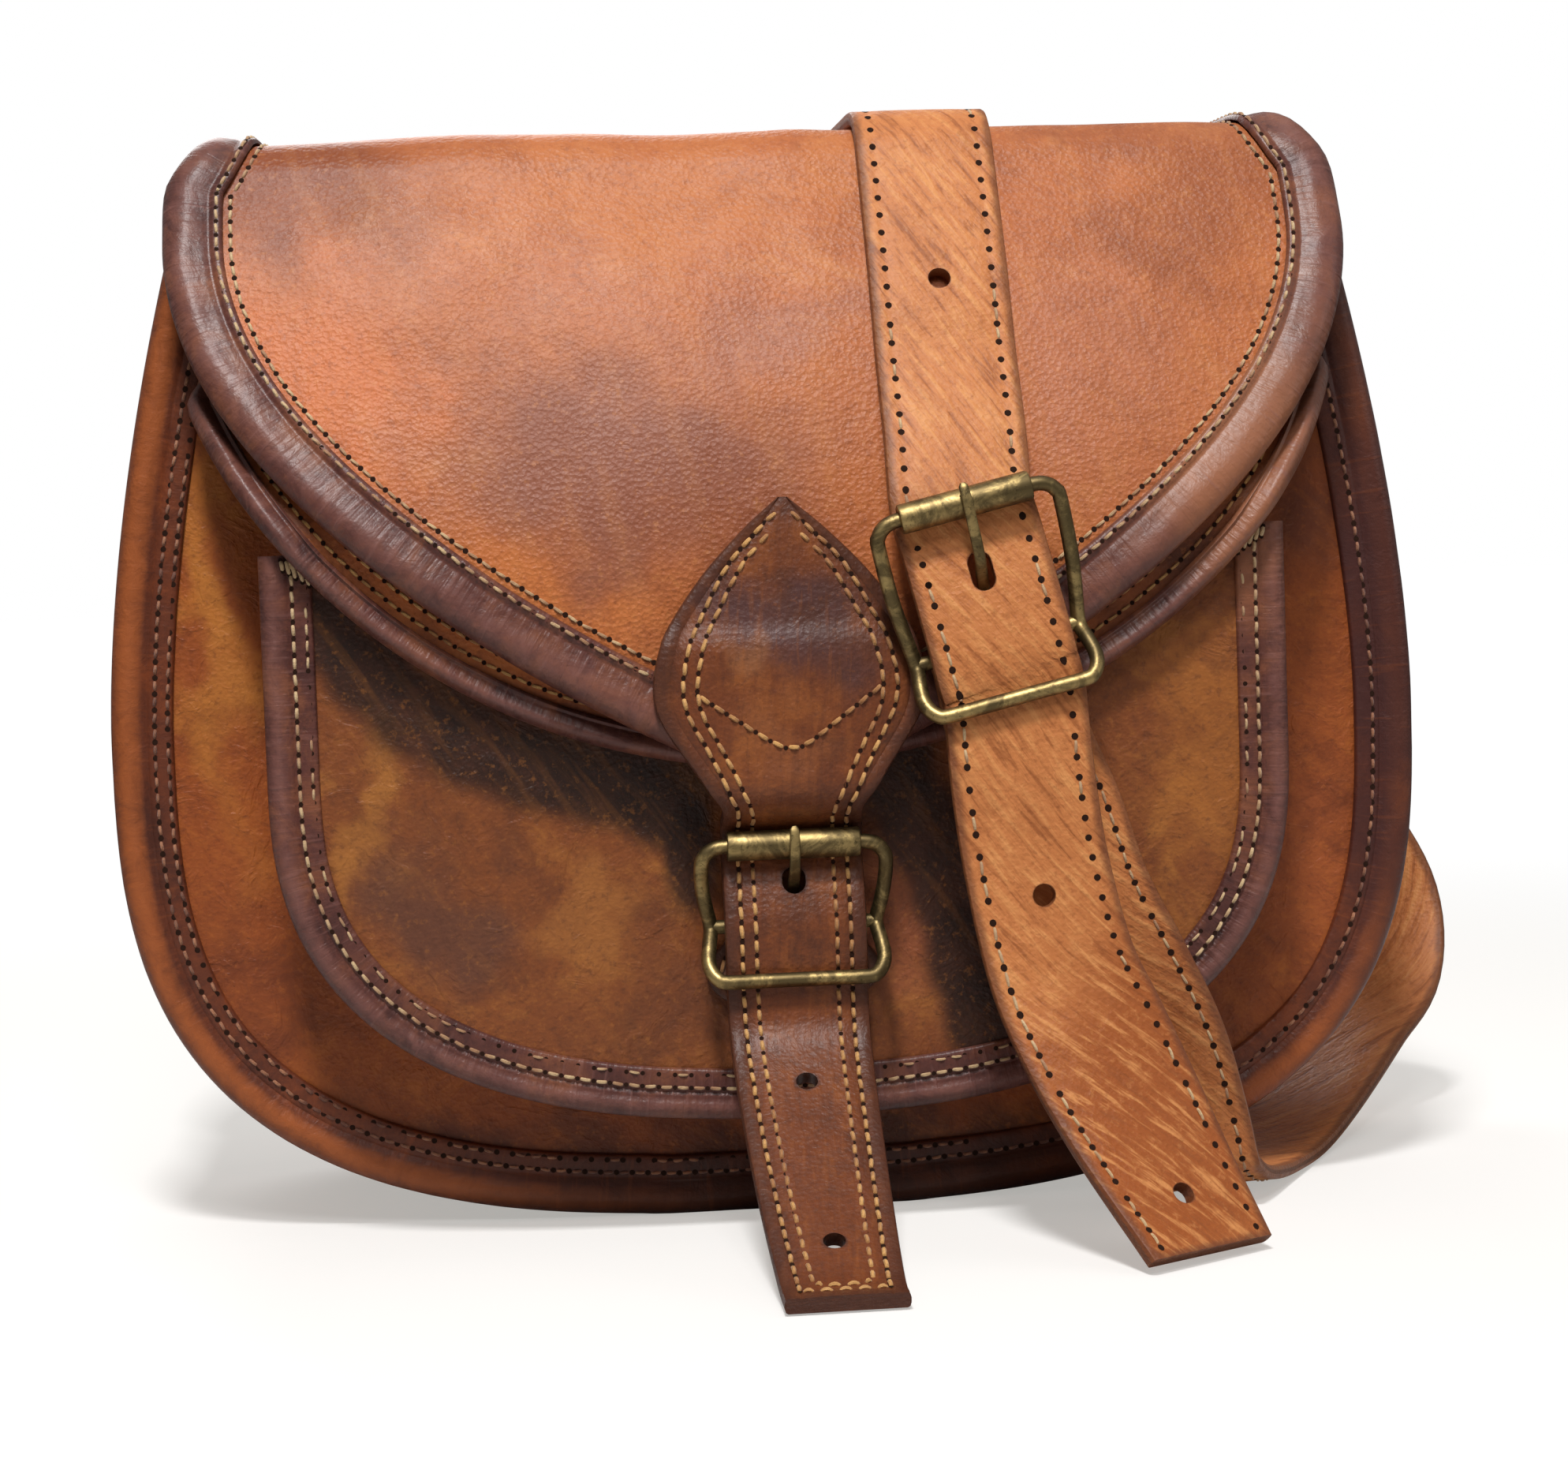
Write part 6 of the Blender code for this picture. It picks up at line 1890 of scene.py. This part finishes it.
@dataclass
class ShoulderStraps:
    """Long strap over the flap, short strap under the corner, their buckle and their sewn ends."""

    flap: MainFlap
    buckle: Buckle
    ridge_x: float = 30.5
    anchor_x: float = 84.0
    anchor_top_z: float = 160.0
    anchor_height: float = 30.0
    behind: float = 6.5
    loop_low_z: float = 38.0
    hole_spacing: float = 57.0
    pivot: Spot = (71.0, -60.0, 8.0)

    def anchored(self, x: float, outward: float) -> list[Station]:
        """Stations where a strap lies on the back panel, up to its sewn end."""
        y = BACK_Y + GAP + STRAP_THICKNESS / 2
        below = self.anchor_top_z - self.anchor_height
        places = ((x + outward, y + 1.5, below - 6), (x, y, below + 3), (x, y, self.anchor_top_z - 2))
        return [Station(place, BACKWARD) for place in places]

    def rear_stations(self) -> list[Station]:
        """Long strap behind the bag: down, through its hanging loop and up to its sewn end."""
        x, anchor = self.ridge_x, self.anchor_x
        flat_y, loop_y = BACK_Y + self.behind, BACK_Y + 3 + STRAP_WIDTH / 2
        top = BODY_TOP_Z - 2.8
        radius, middle = (x + anchor) / 2, (x - anchor) / 2
        centre_z = self.loop_low_z + radius
        falling = ((flat_y, 0, (0, 1, 0)), (flat_y + 0.5, 16, (0.1, 1, 0)), (flat_y + 3, 42, (0.5, 0.9, 0)),
                   (loop_y - 3, 68, (0.9, 0.45, 0)))
        stations = [Station((x, y, top - fall), facing) for y, fall, facing in falling]
        for degrees in range(10, 176, 15):
            angle = radians(degrees)
            outward = Vector((cos(angle), 0, -sin(angle)))
            stations.append(Station(Vector((middle, loop_y, centre_z)) + outward * radius, outward))
        stations.append(Station((-anchor - 0.5, loop_y - 1.5, centre_z + 8), (-0.8, 0.6, 0)))
        stations.append(Station((-anchor - 0.3, loop_y - 6.5, centre_z + 20), (-0.3, 0.95, 0)))
        return stations + self.anchored(-anchor, 0)

    def front_stations(self) -> list[Station]:
        """Long strap from the ridge down to its end."""
        x = self.ridge_x
        lying = 1.0 + GAP + STRAP_THICKNESS / 2 + 0.35
        back_y = BACK_Y + self.behind
        stations = [Station((x, back_y - 0.6, BODY_TOP_Z + 1.5), (0, 1, 0.3)),
                    Station((x, back_y - 3.6, RIDGE_Z + lying - 2.2), (0, 0.7, 1))]
        middles = [Vector((0, y, z)) for y, z, _ in self.flap.ridge_rows()]
        stations += [Station(middle + RIGHT * x + facing * lying, facing)
                     for middle, facing in list(zip(middles, outwards(middles)))[1:]]
        threaded = self.buckle.threaded()
        lower_end = self.buckle.centre[2] + self.buckle.roller_reach + 25
        for k in range(1, 6):
            z = self.flap.bend_z + (lower_end - self.flap.bend_z) * k / 5
            stations.append(Station(self.flap.over(x, z, lying), self.flap.out(z)))
        entry = threaded[0].point
        lifting = self.flap.over(x, entry.z + 12, lying - 0.35)
        stations.append(Station((lifting.x, (lifting.y + entry.y) / 2 + 1.5, lifting.z), (0, -1, 0.4)))
        stations += threaded
        keeper = threaded[-1].point
        end_z = FLOOR_LEVEL_Z + 0.3
        tail = ((1.0, 0.3, 0.84, 0.0, 0.0), (2.9, 0.6, 0.68, 0.02, 0.05), (6.4, 2.2, 0.5, 0.07, 0.15),
                (11.2, 4.8, 0.37, 0.17, 0.3), (17.0, 9.0, 0.23, 0.32, 0.5), (22.6, 15.0, 0.1, 0.5, 0.8),
                (27.0, 21.5, 0.0, 0.68, 1.1))
        for right, forward, share, turn, lean in tail:
            point = (keeper.x + right, keeper.y - forward, end_z + (keeper.z - end_z) * share)
            stations.append(Station(point, (turn, -1, lean), STRAP_WIDTH + 3.6 * min(1.0, forward / 6)))
        return stations

    def build_run(self, name: str, strap: Strap, cutters: Sequence[Piece],
                  seams: Sewing, rides: Sequence[Any]) -> None:
        """Make one of the two straps from its sewn end to its other end."""
        piece = strap.make(name, ("strap_leather", "pale_thread"), cutters, seams)
        lay(piece, rides, "strap_leather", f"{name}_front", f"{name}_rear")

    def build_long(self) -> None:
        """Make the long strap from its sewn end, over the ridge, to its free end."""
        strap = Strap(list(reversed(self.rear_stations())) + self.front_stations(), 6, depth=0.08)
        middle, end = self.buckle.on_strap(strap), strap.ribbon.length - 2.0
        seams = []
        for side, sewn, start, stop in ((-1, 0.15, 2.0, middle), (-1, 0.75, middle, end), (1, 0.2, 2.0, end)):
            seam = Seam(seed=60 + side, pitch=3.7, gap=1.5, hole=0.62, thread=0.27, rise=0.14, sewn=sewn)
            seams.append((seam, strap.row(strap.groove, side, start, stop), strap.over(-0.03)))
        cutters = self.buckle.holes(strap, self.hole_spacing, (-1, 1, 2), 2.0)
        self.build_run("long_strap", strap, cutters, seams, self.flap.rides)

    def short_stations(self) -> list[Station]:
        """Short strap from its fold at the buckle, under the corner, to its sewn end."""
        base, pivot = Vector(self.buckle.centre), Vector(self.pivot)
        span = base - pivot
        front = []
        for x, y, z in ((0.0, 0.0, 0.0), (0.06, 0.12, 0.09), (0.19, 0.38, 0.24), (0.38, 0.62, 0.38),
                        (0.59, 0.78, 0.53), (0.73, 0.87, 0.68)):
            point = pivot + Vector((span.x * x, (span.y + 1.5) * y, span.z * z))
            front.append(Station(point, (0, -1, -0.9 * (1 - y))))
        thin = self.buckle.fold_thickness
        full = -(thin * 1.5 + self.buckle.wire / 2 + GAP - STRAP_THICKNESS / 2)
        front += [Station(self.buckle.place(0, v, full)) for v in (-20.0, -12.0)]
        fold = self.buckle.fold()
        for v, more in ((-7.0, 0.35), (-3.4, 0.0), (-1.6, 0.0)):
            point = fold[0].point + self.buckle.up * v
            front.append(Station(point, FORWARD, STRAP_WIDTH - 1 + more, thin + more))
        front += fold
        rear = [Station(pivot + Vector((1.8, 3.6, -2.88)), (0, -1, -1.4))]
        for right, back, rise, facing in ((6, 12, 1.8, (0, -0.25, -1)), (15, 30, 0.6, (0, 0, -1)),
                                          (27, 52, 0.6, (0, 0, -1)), (40, 72, 5.4, (0.2, 0.2, -1)),
                                          (53, 88, 15.4, (0.4, 0.5, -0.8)), (63, 98, 26.4, (0.5, 0.8, -0.4))):
            rear.append(Station((pivot.x + right, pivot.y + back, FLOOR_LEVEL_Z + rise), facing))
        for right, back, rise, facing in ((52, 1, 40, (0.45, 0.9, 0)), (45, 3, 54, (0.2, 1, 0.1)),
                                          (33, 3, 70, (0, 1, 0)), (21, 2, 90, (0, 1, 0)),
                                          (8, 0, 110, (0, 1, 0))):
            point = (self.anchor_x + right, BACK_Y + self.behind + back, FLOOR_LEVEL_Z + rise)
            rear.append(Station(point, facing))
        return list(reversed(front)) + rear + self.anchored(self.anchor_x, 1)

    def build_short(self) -> None:
        """Make the short strap in one run."""
        strap = Strap(self.short_stations(), 6, depth=0.08)
        seams = []
        for side, sewn in ((-1, 0.5), (1, 0.9)):
            seam = Seam(seed=64 + side, pitch=3.7, gap=1.7, hole=0.62, thread=0.24, rise=0.1, sewn=sewn)
            line = strap.row(strap.groove, side, 14.0, strap.ribbon.length - 2.0)
            seams.append((seam, line, strap.over(-0.03)))
        rides = ("bag", "short_strap", (0, -0.056, 0), (0, -0.066, 0))
        self.build_run("short_strap", strap, [self.buckle.slot_cutter()], seams, rides)

    def build_anchor(self, name: str, x: float, node: str) -> None:
        """Make the patch sewn over a strap's end, pressed down round it."""
        shell = Shell()
        high = BACK_Y + STRAP_THICKNESS + 2 * GAP + 0.9
        ribbon = upright(high, self.anchor_top_z + 4.0, self.anchor_top_z - self.anchor_height, Side.BACK, x)
        length = ribbon.length
        half = 18.0

        def pressed(across: float, along: float) -> float:
            """How far the patch is pressed down beside and above the strap's end."""
            away = max(held((abs(across) - 12.4) / 2.6), held((5.4 - along) / 2.8))
            return -2.75 * away * away * (3 - 2 * away)

        shell.plate(ribbon, [(length * k / 26, half) for k in range(27)], 1.7, 40, pressed)
        low = length - 3.5
        outer = [(1.6 - half, length - 2.0), (1.6 - half, 1.6), (half - 1.6, 1.6), (half - 1.6, length - 2.0)]
        boxed = [(-9, low), (-9, 7.5), (9, 7.5), (9, low), (-9, low), (9, 7.5), (-9, 7.5), (9, low)]
        for corners, seed in ((outer, 70), (boxed, 71)):
            dense = resampled([Vector(corner) for corner in corners], 1.0)
            Seam(seed=seed, pitch=3.2).sew(shell, ribbon, dense, lambda a, b: 0.86 + pressed(a, b))
        lay(shell.leather(name, "patch_leather"), "bag", "patch_leather", node)

    def build(self) -> None:
        """Make the straps, the buckle and the sewn patches."""
        self.build_long()
        self.build_short()
        self.build_anchor("left_anchor_patch", -self.anchor_x, "strap_anchor_left")
        self.build_anchor("right_anchor_patch", self.anchor_x, "strap_anchor_right")
        self.buckle.build()


@dataclass
class Studio:
    """Pale floor, soft lamps, white surroundings and the camera at the photograph's angle."""

    eye: Spot = (-54.0, -656.0, 125.5)
    target: Spot = (2.0, -38.0, 88.5)
    roll: float = 2.0
    focal_px: float = 4278.0
    width_px: float = 1988.0
    daylight: float = 0.11
    mirrored: float = 0.28

    def build_camera(self) -> None:
        """Make the camera, rolled so that the bag leans as in the photograph."""
        data = bpy.data.cameras.new("photo_camera")
        data.sensor_width = 36.0
        data.lens = self.focal_px / self.width_px * data.sensor_width
        data.clip_start = 0.01
        camera = linked("photo_camera", data)
        ahead = (Vector(self.target) - Vector(self.eye)).normalized()
        right = ahead.cross(UP).normalized()
        up = right.cross(ahead)
        turn = radians(self.roll)
        side = right * cos(turn) - up * sin(turn)
        top = right * sin(turn) + up * cos(turn)
        axes = Matrix((side, top, -ahead)).transposed().to_4x4()
        camera.matrix_world = Matrix.Translation(Vector(self.eye) * MM) @ axes
        bpy.context.scene.camera = camera

    def build_floor(self) -> None:
        """Make the pale floor."""
        mesh = bpy.data.meshes.new("floor")
        reach = 6.0
        corners = [(-reach, -reach, 0), (reach, -reach, 0), (reach, reach, 0), (-reach, reach, 0)]
        mesh.from_pydata(corners, [], [(0, 1, 2, 3)])
        mesh.materials.append(FloorPaint("floor_paint").build())
        linked("floor", mesh)

    def build_world(self) -> None:
        """Make surroundings that look white but light the bag gently."""
        world = bpy.data.worlds.new("surroundings")
        world.use_nodes = True
        bpy.context.scene.world = world
        canvas = Canvas(world.node_tree)
        camera, glossy, through = (canvas.node("LightPath", {}, {}, output=k) for k in (0, 3, 6))
        seen = camera.combine("MAXIMUM", camera, through)
        share = self.daylight + seen * (1.0 - self.daylight) + glossy * (self.mirrored - self.daylight)
        canvas.feed({"Color": (1.0, 1.0, 1.0), "Strength": share}, "Background")

    def lamp(self, name: str, place: Spot, size: float, power: float) -> None:
        """Add a square soft lamp that looks at the bag."""
        data = bpy.data.lights.new(name, "AREA")
        data.shape = "SQUARE"
        data.size = size
        data.energy = power
        made = linked(name, data)
        made.location = Vector(place) * MM
        way = (Vector((0, -40, 90)) - Vector(place)).normalized()
        made.rotation_euler = way.to_track_quat("-Z", "Y").to_euler()

    def build(self) -> None:
        """Make everything round the bag."""
        bpy.context.scene.view_settings.view_transform = "Standard"
        self.build_camera()
        self.build_floor()
        self.build_world()
        self.lamp("key_lamp", (-150, -720, 1200), 0.18, 14.0)
        self.lamp("sheen_lamp", (-10, -900, 880), 0.25, 3.2)
        self.lamp("top_lamp", (250, 100, 1300), 0.7, 1.2)
        self.lamp("right_lamp", (1100, -500, 500), 0.6, 1.2)
        self.lamp("rear_lamp", (-200, 1000, 800), 0.6, 5.0)


def main() -> None:
    """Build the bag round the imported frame, then its surroundings."""
    logging.basicConfig(level=logging.INFO, format="%(name)s: %(message)s")
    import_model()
    Studio().build()
    Shell.materials.update({finish.name: finish.build() for finish in FINISHES})
    LOG.info("%d materials", len(Shell.materials))
    Body().build()
    Pocket().build()
    PocketFlap().build()
    flap = MainFlap()
    flap.build()
    closure = Buckle("closure_buckle", (0, -65.4, 56.0), 0.0, 14.6, 9.0, (5.2, 10.1), "bag")
    ClosureStrap(flap, closure).build()
    shoulder = Buckle("shoulder_buckle", (36.0, -77.85, 104.5), 13.0, 25.2, 9.3, (9.3, 16.3),
                      "short_strap")
    ShoulderStraps(flap, shoulder).build()


if __name__ == "__main__":
    main()
